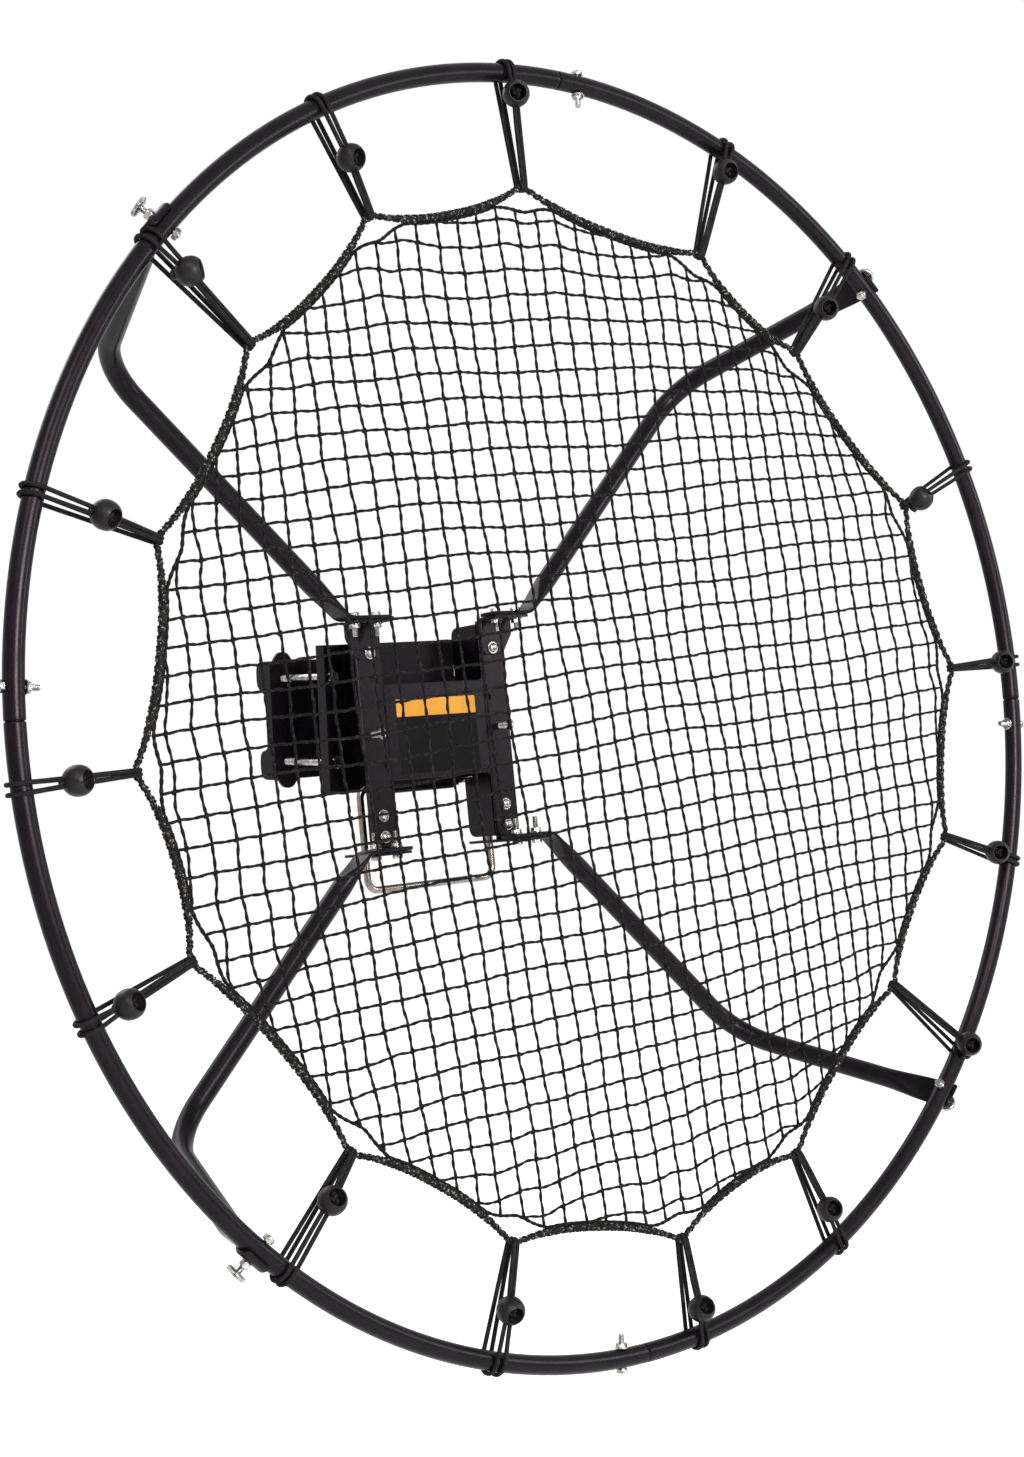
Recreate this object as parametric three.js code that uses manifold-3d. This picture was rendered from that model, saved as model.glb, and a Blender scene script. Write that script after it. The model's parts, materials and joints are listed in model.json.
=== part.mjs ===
// A round ball-return net for a square pole. A hoop of four tubes stands on four bent arms,
// the arms are bolted to a front frame that tilts on a pole clamp, and a net hangs in the
// hoop on sixteen elastic cords. Millimetres, +Z up, the net faces -Y, and the origin is the
// middle of the face that bears on the pole.
import * as THREE from 'three';
import { mergeVertices } from 'three/addons/utils/BufferGeometryUtils.js';
import Module from 'manifold-3d';

const wasm = await Module();
wasm.setup();

const degree = Math.PI / 180;
const yAxis = new THREE.Vector3(0, 1, 0);
const quarterTurn = Math.PI / 2;
const eighthTurn = Math.PI / 4;

// Clearances
const gap = 0.3;
const turningGap = 0.15;
const overrun = 2;

// Pole clamp
const poleWidth = 101.6;
const clampPlate = 3;
const bracketHalfWidth = 64;
const bracketHalfHeight = 82;
const webForward = 22;
const earBack = 10;
const earLip = 15;
const rolledLipRadius = 3;
const rolledLipHalfLength = 54;
const jawHalfHeight = 67;
const jawFlangeDepth = 28;
const jawWaistDepth = 12;
const lobeRise = 10;
const lobeHalfWidth = 13;
const plateCornerRadius = 6;
const clampBoltRadius = 4;
const clampBoltInset = 20;
const clampBoltSpreadZ = 47;
const clampBoltTail = 14;
const clampHeadAcross = 13;
const clampHeadHeight = 5.3;
const clampNutHeight = 6.5;

// Tilt pivot and its lock
const pivotForward = 53;
const pivotDrop = 18;
const restTilt = 4.5 * degree;
const cheekNoseRadius = 14;
const cheekTop = 18;
const cheekFoot = 62.5;
const cheekNoseStart = 100 * degree;
const cheekNoseEnd = 200 * degree;
const pivotBoltRadius = 4;
const pivotHeadRadius = 7.5;
const pivotHeadHeight = 5;
const pivotNutHeight = 6.5;
const pivotTail = 3;
const lockSectorRadius = 54.5;
const lockStep = 10 * degree;
const lockSectorStart = 262 * degree;
const lockSectorEnd = 305 * degree;
const lockTravel = 12;
const lockPinRadius = 3;
const lockRodRadius = 4;
const lockRodBack = 18;
const lockPinDrop = 56;
const lockRodHang = 45.5;
const lockRodInset = 19;
const lockRodBend = 12;
const lockPinReach = 5;

// Front frame
const framePlate = 3;
const frameFace = 19.5;
const cheekClearance = 3;
const frameLegWidth = 33.5;
const frameTopRise = 17.5;
const frameBottomDrop = 21.5;
const crossTop = 53;
const crossBottom = 51;
const flangeBack = 29;
const flangeTopInset = 3;
const flangeCornerRadius = 12;
const frameHoleRadius = 3.25;
const frameHoleInset = 8;
const frameHoleZ = 33;
const studInset = 20.5;
const studLength = 13;
const studRadius = 3.8;
const studHeadAcross = 11;
const studHeadHeight = 11;

// Clips that carry the arms
const clipPlate = 3;
const clipEdgeInset = 4;
const clipUpperHeight = 41;
const clipLowerHeight = 49;
const clipFootInset = 31.4;
const clipShoulderInset = 46.3;
const clipShoulderRise = 22.5;
const tabEndInset = 52;
const tabLip = 14.5;
const tabRise = 3.5;
const clipGuideBack = 40;
const clipBoltInset = 17;
const clipBoltRadius = 3;
const clipBoltLow = 7;
const clipBoltPitch = 23;
const domeRadius = 5.2;
const domeHeight = 3.4;
const clipWasherRadius = 6.8;
const clipWasherHeight = 1.2;

// Arms
const armRadius = 11;
const armWall = 1.3;
const flatHalfWidth = 15.5;
const flatThickness = 4;
const armTipInset = 2;
const armForward = 17;
const armKneeRadius = 18;
const armBendRadius = 75;
const legLean = 22.8 * degree;
const flareLength = 46;
const saddleWidth = 31;
const saddleWrap = 30 * degree;
const saddleEaseRadius = 10;
const saddleFlare = 64;
const armSlit = 0.4;

// Fasteners
const smallBoltRadius = 3;
const smallNutAcross = 10;
const smallNutHeight = 5;
const smallHeadHeight = 4.2;
const armBoltInnerInset = 15.3;
const armBoltOuterInset = 43.3;
const armBoltTail = 9;
const thumbHeadRadius = 10;
const thumbHeadHeight = 4.5;
const thumbNeck = 6;
const thumbCollarHeight = 6;
const threadTip = 0.8;

// Hoop
const hoopRadius = 642;
const hoopTubeRadius = 9.5;
const hoopWall = 1.2;
const hoopReach = 290;
const hoopSeamAngle = 2 * degree;
const jointBoltInset = 29;
const neckLength = 42;
const neckTaper = 3;
const jointBoltTail = 8.5;

// Net and its elastic cords
const netTwine = 2.4;
const netPitch = 80;
const netLie = 4 * degree;
const ropeRadius = 3.75;
const scallopDepth = 16;
const cornerEyeRadius = 8;
const cordRadius = 1.9;
const cordSpacing = 0.6;
const wrapTurns = 1.5;
const ballRadius = 12.5;
const ballForward = 13;

// The cords in degrees, clockwise from the top as seen from the front, and how far out each
// one's corner of the net and ball lie, as shares of the hoop's radius
const cordAngles = [-4, 23, 41.5, 67, 88, 109, 130, 156, 175.5, 199, 222, 248.5, 267, 289.5, 313, 334.5];
const cornerShares = [
  0.824, 0.807, 0.787, 0.83, 0.847, 0.83, 0.798, 0.829,
  0.847, 0.83, 0.813, 0.832, 0.833, 0.813, 0.805, 0.833,
];
const ballShares = [
  0.962, 0.955, 0.883, 0.85, 0.961, 0.945, 0.983, 0.934,
  0.955, 0.924, 0.887, 0.948, 0.929, 0.903, 0.938, 0.916,
];

// Places across the frame, counted from the inner edges of its legs
const frameInnerHalfWidth = bracketHalfWidth + cheekClearance;
const fromLegEdge = (inset) => frameInnerHalfWidth + inset;
const frameOuterHalfWidth = fromLegEdge(frameLegWidth);
const earHalfWidth = frameOuterHalfWidth;
const clampBoltSpreadX = bracketHalfWidth + clampBoltInset;
const frameHoleX = fromLegEdge(frameHoleInset);
const studX = fromLegEdge(studInset);
const lockRodHalfWidth = fromLegEdge(lockRodInset);
const clipEdge = fromLegEdge(clipEdgeInset);
const clipFoot = fromLegEdge(clipFootInset);
const clipShoulder = fromLegEdge(clipShoulderInset);
const clipBoltX = fromLegEdge(clipBoltInset);
const tabEnd = fromLegEdge(tabEndInset);
const armTipX = fromLegEdge(armTipInset);
const armBoltInner = fromLegEdge(armBoltInnerInset);
const armBoltOuter = fromLegEdge(armBoltOuterInset);

// Heights that follow the frame's width, so that its corners stay near the arms' 45 degree lines
const frameTop = frameOuterHalfWidth + frameTopRise;
const frameBottom = frameOuterHalfWidth + frameBottomDrop;
const lockRodDrop = frameBottom + lockRodHang;

// Places that follow the frame's face and top, and the hoop
const flangeTop = frameTop - flangeTopInset;
const tabTop = frameTop + tabRise;
const armFaceY = frameFace + armForward;
const tabForward = armFaceY + tabLip;
const cornerRadius = (i) => hoopRadius * cornerShares[i % cordAngles.length];
const ballCentreRadius = (i) => hoopRadius * ballShares[i];

// Faceting
const hoopSides = 8;
const hoopSteps = 16;
const armSides = 8;
const boltSides = 8;
const hexSides = 6;
const headSides = 10;
const cordSides = 4;
const ropeSides = 6;
const ballRows = 4;
const kneeSteps = 2;
const bendSteps = 4;
const saddleSteps = 3;
const bightSteps = 3;
const wrapStepsPerTurn = 6;
const scallopSteps = 3;
const cornerSteps = 3;
const halvings = 40;

// Materials
const finish = (color, roughness, metalness) =>
  new THREE.MeshStandardMaterial({ color, roughness, metalness });
const powderCoat = finish(0x1c1c1f, 0.5, 0.35);
const zinc = finish(0xc3c5c8, 0.3, 0.9);
const nickel = finish(0xd6d0c4, 0.22, 0.95);
const twine = finish(0x141416, 0.9, 0);
const elastic = finish(0x18181a, 0.8, 0);

// A closed geometry from points and triangles, turned so that its faces point out
function closedGeometry(points, faces) {
  let volume = 0;
  for (const [a, b, c] of faces) {
    volume += points[a].dot(new THREE.Vector3().crossVectors(points[b], points[c]));
  }
  const index = volume < 0 ? faces.map(([a, b, c]) => [a, c, b]) : faces;
  const geometry = new THREE.BufferGeometry();
  const coordinates = points.flatMap((point) => point.toArray());
  geometry.setAttribute('position', new THREE.Float32BufferAttribute(coordinates, 3));
  geometry.setIndex(index.flat());
  return geometry;
}

function solid(geometry) {
  const bare = geometry.clone();
  bare.deleteAttribute('normal');
  bare.deleteAttribute('uv');
  const merged = mergeVertices(bare);
  const vertProperties = new Float32Array(merged.attributes.position.array);
  const triVerts = new Uint32Array(merged.index.array);
  return new wasm.Manifold(new wasm.Mesh({ numProp: 3, vertProperties, triVerts }));
}

function geometryOf(body) {
  const mesh = body.getMesh();
  const geometry = new THREE.BufferGeometry();
  geometry.setAttribute('position', new THREE.Float32BufferAttribute(mesh.vertProperties, 3));
  geometry.setIndex(Array.from(mesh.triVerts));
  return geometry;
}

function joined(bodies) {
  return bodies.reduce((whole, body) => whole.add(body));
}

function cut(body, tools) {
  return tools.reduce((rest, tool) => rest.subtract(tool), body);
}

// A hole's faceted wall stays this far outside the round thing that passes it
function holeRadius(radius, clearance, sides) {
  return (radius + clearance) / Math.cos(Math.PI / sides);
}

function rod(from, to, radius, sides = boltSides) {
  const axis = new THREE.Vector3().subVectors(to, from);
  const geometry = new THREE.CylinderGeometry(radius, radius, axis.length(), sides);
  const turn = new THREE.Quaternion().setFromUnitVectors(yAxis, axis.clone().normalize());
  geometry.applyQuaternion(turn);
  const middle = new THREE.Vector3().addVectors(from, to).multiplyScalar(0.5);
  geometry.translate(middle.x, middle.y, middle.z);
  return solid(geometry);
}

// A turned or hexagonal piece along an axis: each profile step is [distance, radius]
function turned(origin, axis, profile, sides) {
  const across = Math.abs(axis.y) > 0.9 ? new THREE.Vector3(0, 0, 1) : yAxis.clone();
  across.addScaledVector(axis, -across.dot(axis)).normalize();
  const along = new THREE.Vector3().crossVectors(axis, across);
  const section = ([distance, radius]) => {
    const at = origin.clone().addScaledVector(axis, distance);
    return ring({ at, across, along, halfAcross: radius, halfAlong: radius }, sides);
  };
  return solid(bar(profile.map(section)));
}

const hexRadius = (acrossFlats) => acrossFlats / 2 / Math.cos(Math.PI / hexSides);

// An outline with rounded corners: each point is [x, y, corner radius]
function outline(points) {
  const shape = new THREE.Shape();
  points.forEach(([x, y, radius = 0], i) => {
    const here = new THREE.Vector2(x, y);
    const last = new THREE.Vector2(...points[(i + points.length - 1) % points.length]);
    const next = new THREE.Vector2(...points[(i + 1) % points.length]);
    const enter = here.clone().add(last.sub(here).setLength(radius));
    const leave = here.clone().add(next.sub(here).setLength(radius));
    if (i === 0) shape.moveTo(enter.x, enter.y);
    else shape.lineTo(enter.x, enter.y);
    if (radius > 0) shape.quadraticCurveTo(x, y, leave.x, leave.y);
  });
  shape.closePath();
  return shape;
}

function extruded(shape, depth) {
  return new THREE.ExtrudeGeometry(shape, { depth, bevelEnabled: false, curveSegments: cornerSteps });
}

// A plate whose outline is drawn in X and Z, from one Y to another
function facingPlate(shape, front, back) {
  const geometry = extruded(shape, back - front);
  geometry.rotateX(quarterTurn);
  geometry.translate(0, back, 0);
  return solid(geometry);
}

// A plate whose outline is drawn in Y and Z, from one X to another
function sidePlate(shape, left, right) {
  const geometry = extruded(shape, right - left);
  const basis = new THREE.Matrix4();
  basis.makeBasis(new THREE.Vector3(0, 1, 0), new THREE.Vector3(0, 0, 1), new THREE.Vector3(1, 0, 0));
  geometry.applyMatrix4(basis);
  geometry.translate(left, 0, 0);
  return solid(geometry);
}

// A plate whose outline is drawn in X and Y, from one Z to another
function levelPlate(shape, bottom, top) {
  const geometry = extruded(shape, top - bottom);
  geometry.translate(0, 0, bottom);
  return solid(geometry);
}

// A ring of points round a station of a tube. Where one half size is larger than the other,
// the ring is a flattened tube: two half rounds with flat sides between them.
function ring({ at, across, along, halfAcross, halfAlong }, sides) {
  const radius = Math.min(halfAcross, halfAlong);
  return Array.from({ length: sides }, (_, k) => {
    const angle = ((k + 0.5) / sides) * 2 * Math.PI;
    const u = radius * Math.cos(angle) + Math.sign(Math.cos(angle)) * (halfAcross - radius);
    const v = radius * Math.sin(angle) + Math.sign(Math.sin(angle)) * (halfAlong - radius);
    return at.clone().addScaledVector(across, u).addScaledVector(along, v);
  });
}

function ribbon(rings, firstRing, sides, faces) {
  for (let r = 0; r + 1 < rings; r++) {
    for (let k = 0; k < sides; k++) {
      const a = (firstRing + r) * sides + k;
      const b = (firstRing + r) * sides + ((k + 1) % sides);
      faces.push([a, b, b + sides], [a, b + sides, a + sides]);
    }
  }
}

function cap(ringIndex, sides, faces, flip) {
  const first = ringIndex * sides;
  for (let k = 1; k + 1 < sides; k++) {
    const face = [first, first + k + 1, first + k];
    faces.push(flip ? face.reverse() : face);
  }
}

// A solid bar through a row of rings
function bar(rings) {
  const sides = rings[0].length;
  const faces = [];
  ribbon(rings.length, 0, sides, faces);
  cap(0, sides, faces, false);
  cap(rings.length - 1, sides, faces, true);
  return closedGeometry(rings.flat(), faces);
}

const radial = (angle) => new THREE.Vector3(Math.sin(angle), 0, Math.cos(angle));
const alongHoop = (angle) => new THREE.Vector3(Math.cos(angle), 0, -Math.sin(angle));

// A straight or bent tube with a bore. The bore is open at the near end, and at the far end
// too where openEnds is true.
function pipe(rings, boreRings, openEnds) {
  const sides = rings[0].length;
  const faces = [];
  const boreFaces = [];
  ribbon(rings.length, 0, sides, faces);
  ribbon(boreRings.length, rings.length, sides, boreFaces);
  const lastRing = rings.length - 1;
  const lastBore = rings.length + boreRings.length - 1;
  const annulus = (outer, inner, flip) => {
    for (let k = 0; k < sides; k++) {
      const n = (k + 1) % sides;
      const first = [outer * sides + k, inner * sides + k, inner * sides + n];
      const second = [outer * sides + k, inner * sides + n, outer * sides + n];
      faces.push(flip ? first.reverse() : first, flip ? second.reverse() : second);
    }
  };
  annulus(0, rings.length, false);
  if (openEnds) {
    annulus(lastRing, lastBore, true);
  } else {
    cap(lastRing, sides, faces, true);
    cap(lastBore, sides, boreFaces, true);
  }
  faces.push(...boreFaces.map((face) => face.reverse()));
  return closedGeometry([...rings, ...boreRings].flat(), faces);
}

const hoopStep = quarterTurn / hoopSteps;
const armAngle = (k) => (0.5 + k) * quarterTurn;
const seamAngle = (k) => hoopSeamAngle + k * quarterTurn;
const jointBoltAngle = (k) => seamAngle(k) + jointBoltInset / hoopRadius;

// The hoop's middle line is a polygon. What sits on it takes its place and its outward
// direction from the side that it lies on.
function hoopFrame(angle) {
  const side = Math.floor((angle - hoopSeamAngle) / hoopStep);
  const middleAngle = hoopSeamAngle + (side + 0.5) * hoopStep;
  const inradius = hoopRadius * Math.cos(hoopStep / 2);
  const at = radial(middleAngle).multiplyScalar(inradius);
  at.addScaledVector(alongHoop(middleAngle), inradius * Math.tan(angle - middleAngle));
  at.y = -hoopReach;
  return { at, outward: radial(middleAngle), along: alongHoop(middleAngle) };
}

// The thumb screws stand square to the arms' last legs and point outward and back
const screwAxis = (angle) =>
  radial(angle).multiplyScalar(Math.cos(legLean)).addScaledVector(yAxis, Math.sin(legLean));

// One quarter of the hoop: a tube whose far end is drawn down to a neck that enters the next
function hoopTube(k) {
  const neckRadius = hoopTubeRadius - hoopWall - gap;
  const end = seamAngle(k + 1);
  const stations = [];
  const corner = (angle, radius) => stations.push([hoopCorner(angle), radial(angle), radius]);
  const inSide = (angle, radius) => {
    const frame = hoopFrame(angle);
    stations.push([frame.at, frame.outward, radius]);
  };
  for (let i = 0; i < hoopSteps; i++) corner(seamAngle(k) + i * hoopStep, hoopTubeRadius);
  inSide(end - (neckTaper + gap) / hoopRadius, hoopTubeRadius);
  inSide(end - gap / hoopRadius, neckRadius);
  corner(end, neckRadius);
  inSide(end + neckLength / hoopRadius, neckRadius);
  const tubeRing = (inset) => ([at, across, radius]) =>
    ring({ at, across, along: yAxis, halfAcross: radius - inset, halfAlong: radius - inset }, hoopSides);
  const body = solid(pipe(stations.map(tubeRing(0)), stations.map(tubeRing(hoopWall)), true));
  const near = hoopFrame(jointBoltAngle(k));
  const far = hoopFrame(jointBoltAngle(k + 1));
  const holes = [
    boltHole(near.at, near.outward),
    boltHole(far.at, far.outward),
    boltHole(hoopFrame(armAngle(k)).at, screwAxis(armAngle(k))),
  ];
  return geometryOf(cut(body, holes));
}

function hoopCorner(angle) {
  return radial(angle).multiplyScalar(hoopRadius).addScaledVector(yAxis, -hoopReach);
}

function boltHole(centre, axis) {
  const reach = hoopTubeRadius + overrun;
  const from = centre.clone().addScaledVector(axis, -reach);
  const to = centre.clone().addScaledVector(axis, reach);
  return rod(from, to, holeRadius(smallBoltRadius, gap, hexSides), hexSides);
}

function hoopBolt(k) {
  const { at, outward } = hoopFrame(jointBoltAngle(k));
  const seat = hoopTubeRadius + gap;
  const nutEnd = seat + smallNutHeight;
  return geometryOf(turned(at, outward, [
    [-nutEnd - jointBoltTail, smallBoltRadius],
    [-nutEnd, smallBoltRadius],
    [-nutEnd, hexRadius(smallNutAcross)],
    [-seat, hexRadius(smallNutAcross)],
    [-seat, smallBoltRadius],
    [seat, smallBoltRadius],
    [seat, hexRadius(smallNutAcross)],
    [seat + smallHeadHeight, hexRadius(smallNutAcross)],
  ], hexSides));
}

// Height of the middle of an arm's bolted flat, above or below the tilt axis
const clipLowerTop = frameBottom + gap + flatThickness + gap;
const flatHeight = (side) => (side > 0 ? tabTop : frameBottom) + gap + flatThickness / 2;

// The sections that an arm is pressed to: its bolted flat, the plain tube, and the saddle's leaf
const flatSection = { halfAcross: flatHalfWidth, halfAlong: flatThickness / 2 };
const tubeSection = { halfAcross: armRadius, halfAlong: armRadius };
const leafSection = { halfAcross: flatThickness / 2, halfAlong: saddleWidth / 2 };

function halfway(a, b) {
  return { halfAcross: (a.halfAcross + b.halfAcross) / 2, halfAlong: (a.halfAlong + b.halfAlong) / 2 };
}

// A corner's directions: across the frame, up it, out on the 45 degree line, and square to that
function cornerDirections(sideX, sideZ) {
  const across = new THREE.Vector3(sideX, 0, 0);
  const up = new THREE.Vector3(0, 0, sideZ);
  const outward = across.clone().add(up).normalize();
  const sideways = up.clone().sub(across).normalize();
  return { across, up, outward, sideways };
}

// How much of an arm's flat the knee takes up before and after its corner
const kneeLength = armKneeRadius * Math.tan(eighthTurn / 2);

// The bolted flat and the knee that turns it up to the 45 degree line
function armFoot({ across, up }, height) {
  const stations = [];
  const station = (x, rise, turn) => {
    const at = across.clone().multiplyScalar(x).addScaledVector(up, height + rise);
    at.addScaledVector(yAxis, -armFaceY);
    const along = up.clone().multiplyScalar(Math.cos(turn)).addScaledVector(across, -Math.sin(turn));
    stations.push({ at, across: yAxis, along, ...flatSection });
  };
  station(armTipX, 0, 0);
  for (let i = 0; i <= kneeSteps; i++) {
    const turn = (eighthTurn * i) / kneeSteps;
    const x = height - kneeLength + armKneeRadius * Math.sin(turn);
    station(x, armKneeRadius * (1 - Math.cos(turn)), turn);
  }
  return stations;
}

// A station in the plane of an arm's bends, at a distance from the middle, a depth and a turn
function bendStation({ outward, sideways }, distance, y, turn, section) {
  return {
    at: outward.clone().multiplyScalar(distance).addScaledVector(yAxis, y),
    across: yAxis.clone().multiplyScalar(Math.cos(turn)).addScaledVector(outward, Math.sin(turn)),
    along: sideways,
    ...section,
  };
}

// The line of an arm's last leg where it lies on the hoop, as far off the hoop's middle as the
// wrap and its easing bend ask, and where on that line the easing bend starts
const wrapRadius = hoopTubeRadius + gap + flatThickness / 2;
const legOffset = wrapRadius * Math.cos(saddleWrap) - saddleEaseRadius * (1 - Math.cos(saddleWrap));
const saddleStart = (wrapRadius + saddleEaseRadius) * Math.sin(saddleWrap);
const legTurn = quarterTurn - legLean;
const onLeg = (s, offset) => [
  hoopRadius + offset * Math.cos(legLean) - s * Math.sin(legLean),
  -hoopReach + offset * Math.sin(legLean) + s * Math.cos(legLean),
];

// The flare from the flat to round tube, the long straight and the forward bend
function armTube(directions, height) {
  const kneeEnd = height * Math.SQRT2 + kneeLength;
  const legLength = (hoopReach - armFaceY - legOffset * Math.sin(legLean)) / Math.cos(legLean);
  const bendStart = onLeg(legLength, legOffset)[0] - armBendRadius * Math.tan(legTurn / 2);
  const stations = [
    bendStation(directions, kneeEnd + flareLength / 2, -armFaceY, 0, halfway(flatSection, tubeSection)),
    bendStation(directions, kneeEnd + flareLength, -armFaceY, 0, tubeSection),
  ];
  for (let i = 0; i <= bendSteps; i++) {
    const turn = (legTurn * i) / bendSteps;
    const distance = bendStart + armBendRadius * Math.sin(turn);
    const y = -armFaceY - armBendRadius * (1 - Math.cos(turn));
    stations.push(bendStation(directions, distance, y, turn, tubeSection));
  }
  return stations;
}

// The last leg, pressed from round tube to a leaf
function armLeg(directions) {
  const station = (s, section) => bendStation(directions, ...onLeg(s, legOffset), legTurn, section);
  return [
    station(saddleStart + saddleFlare, tubeSection),
    station(saddleStart + saddleFlare / 2, halfway(tubeSection, leafSection)),
    station(saddleStart, leafSection),
  ];
}

// The leaf's easing bend and its wrap round the back of the hoop
function armSaddle(directions) {
  const station = (s, offset, turn) => bendStation(directions, ...onLeg(s, offset), turn, leafSection);
  const ease = saddleWrap / 2;
  const easeReach = saddleEaseRadius * Math.sin(ease);
  const easeRise = saddleEaseRadius * (1 - Math.cos(ease));
  const stations = [station(saddleStart - easeReach, legOffset + easeRise, legTurn - ease)];
  for (let i = 0; i <= saddleSteps; i++) {
    const a = saddleWrap * (1 - (2 * i) / saddleSteps);
    stations.push(station(wrapRadius * Math.sin(a), wrapRadius * Math.cos(a), legTurn - a));
  }
  return stations;
}

function arm(sideX, sideZ, k) {
  const directions = cornerDirections(sideX, sideZ);
  const height = flatHeight(sideZ);
  const tube = [...armFoot(directions, height), ...armTube(directions, height), ...armLeg(directions)];
  const rings = [...tube, ...armSaddle(directions)].map((station) => ring(station, armSides));
  const bored = tube.slice(0, -1).map((station) => {
    const pressed = Math.min(station.halfAcross, station.halfAlong) <= flatThickness / 2;
    const wall = pressed ? (flatThickness - armSlit) / 2 : armWall;
    return { ...station, halfAcross: station.halfAcross - wall, halfAlong: station.halfAlong - wall };
  });
  const boreRings = bored.map((station) => ring(station, armSides));
  const body = solid(pipe(rings, boreRings, false));
  const holes = [armBoltInner, armBoltOuter].map((x) => {
    const reach = flatThickness / 2 + overrun;
    const from = new THREE.Vector3(sideX * x, -armFaceY, sideZ * height - reach);
    const to = new THREE.Vector3(sideX * x, -armFaceY, sideZ * height + reach);
    return rod(from, to, holeRadius(smallBoltRadius, gap, hexSides), hexSides);
  });
  const axis = screwAxis(armAngle(k));
  const from = hoopFrame(armAngle(k)).at.addScaledVector(axis, hoopTubeRadius);
  const to = from.clone().addScaledVector(axis, flatThickness + overrun);
  holes.push(rod(from, to, holeRadius(smallBoltRadius, turningGap, hexSides), hexSides));
  return geometryOf(cut(body, holes));
}

function thumbScrew(k) {
  const collar = hoopTubeRadius + gap + flatThickness + gap;
  const neck = collar + thumbCollarHeight;
  const head = neck + thumbNeck;
  const end = hoopTubeRadius + gap + smallNutHeight + threadTip;
  return geometryOf(turned(hoopFrame(armAngle(k)).at, screwAxis(armAngle(k)), [
    [-end, smallBoltRadius],
    [collar, smallBoltRadius],
    [collar, smallNutAcross / 2],
    [neck, smallNutAcross / 2],
    [neck, smallBoltRadius],
    [head, smallBoltRadius],
    [head, thumbHeadRadius],
    [head + thumbHeadHeight, thumbHeadRadius],
  ], headSides));
}

function thumbNut(k) {
  const start = hoopTubeRadius + gap;
  const axis = screwAxis(armAngle(k));
  const centre = hoopFrame(armAngle(k)).at;
  const nut = [[-start - smallNutHeight, hexRadius(smallNutAcross)], [-start, hexRadius(smallNutAcross)]];
  const boreRadius = holeRadius(smallBoltRadius, turningGap, hexSides);
  const bore = [[-start - smallNutHeight - overrun, boreRadius], [-start + overrun, boreRadius]];
  return geometryOf(cut(turned(centre, axis, nut, hexSides), [turned(centre, axis, bore, hexSides)]));
}

// The bolt and nut that hold an arm's flat to its clip
function armBolt(sideX, sideZ, x) {
  const origin = new THREE.Vector3(sideX * x, -armFaceY, 0);
  const up = new THREE.Vector3(0, 0, 1);
  const upper = sideZ > 0;
  const headSeat = upper ? tabTop + gap + flatThickness + gap : -clipLowerTop - clipPlate - gap;
  const nutSeat = upper ? tabTop - clipPlate - gap : -frameBottom;
  const nutEnd = nutSeat - sideZ * smallNutHeight;
  return geometryOf(turned(origin, up, [
    [nutEnd - sideZ * armBoltTail, smallBoltRadius],
    [nutEnd, smallBoltRadius],
    [nutEnd, hexRadius(smallNutAcross)],
    [nutSeat, hexRadius(smallNutAcross)],
    [nutSeat, smallBoltRadius],
    [headSeat, smallBoltRadius],
    [headSeat, hexRadius(smallNutAcross)],
    [headSeat + sideZ * smallHeadHeight, hexRadius(smallNutAcross)],
  ], hexSides));
}

const clipBoltHeights = (sideZ) => {
  const lowerClipTop = clipLowerTop + clipPlate - clipLowerHeight;
  const first = sideZ > 0 ? tabTop - clipUpperHeight + clipBoltLow : -lowerClipTop - clipBoltLow;
  return [first, first + sideZ * clipBoltPitch];
};

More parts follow.
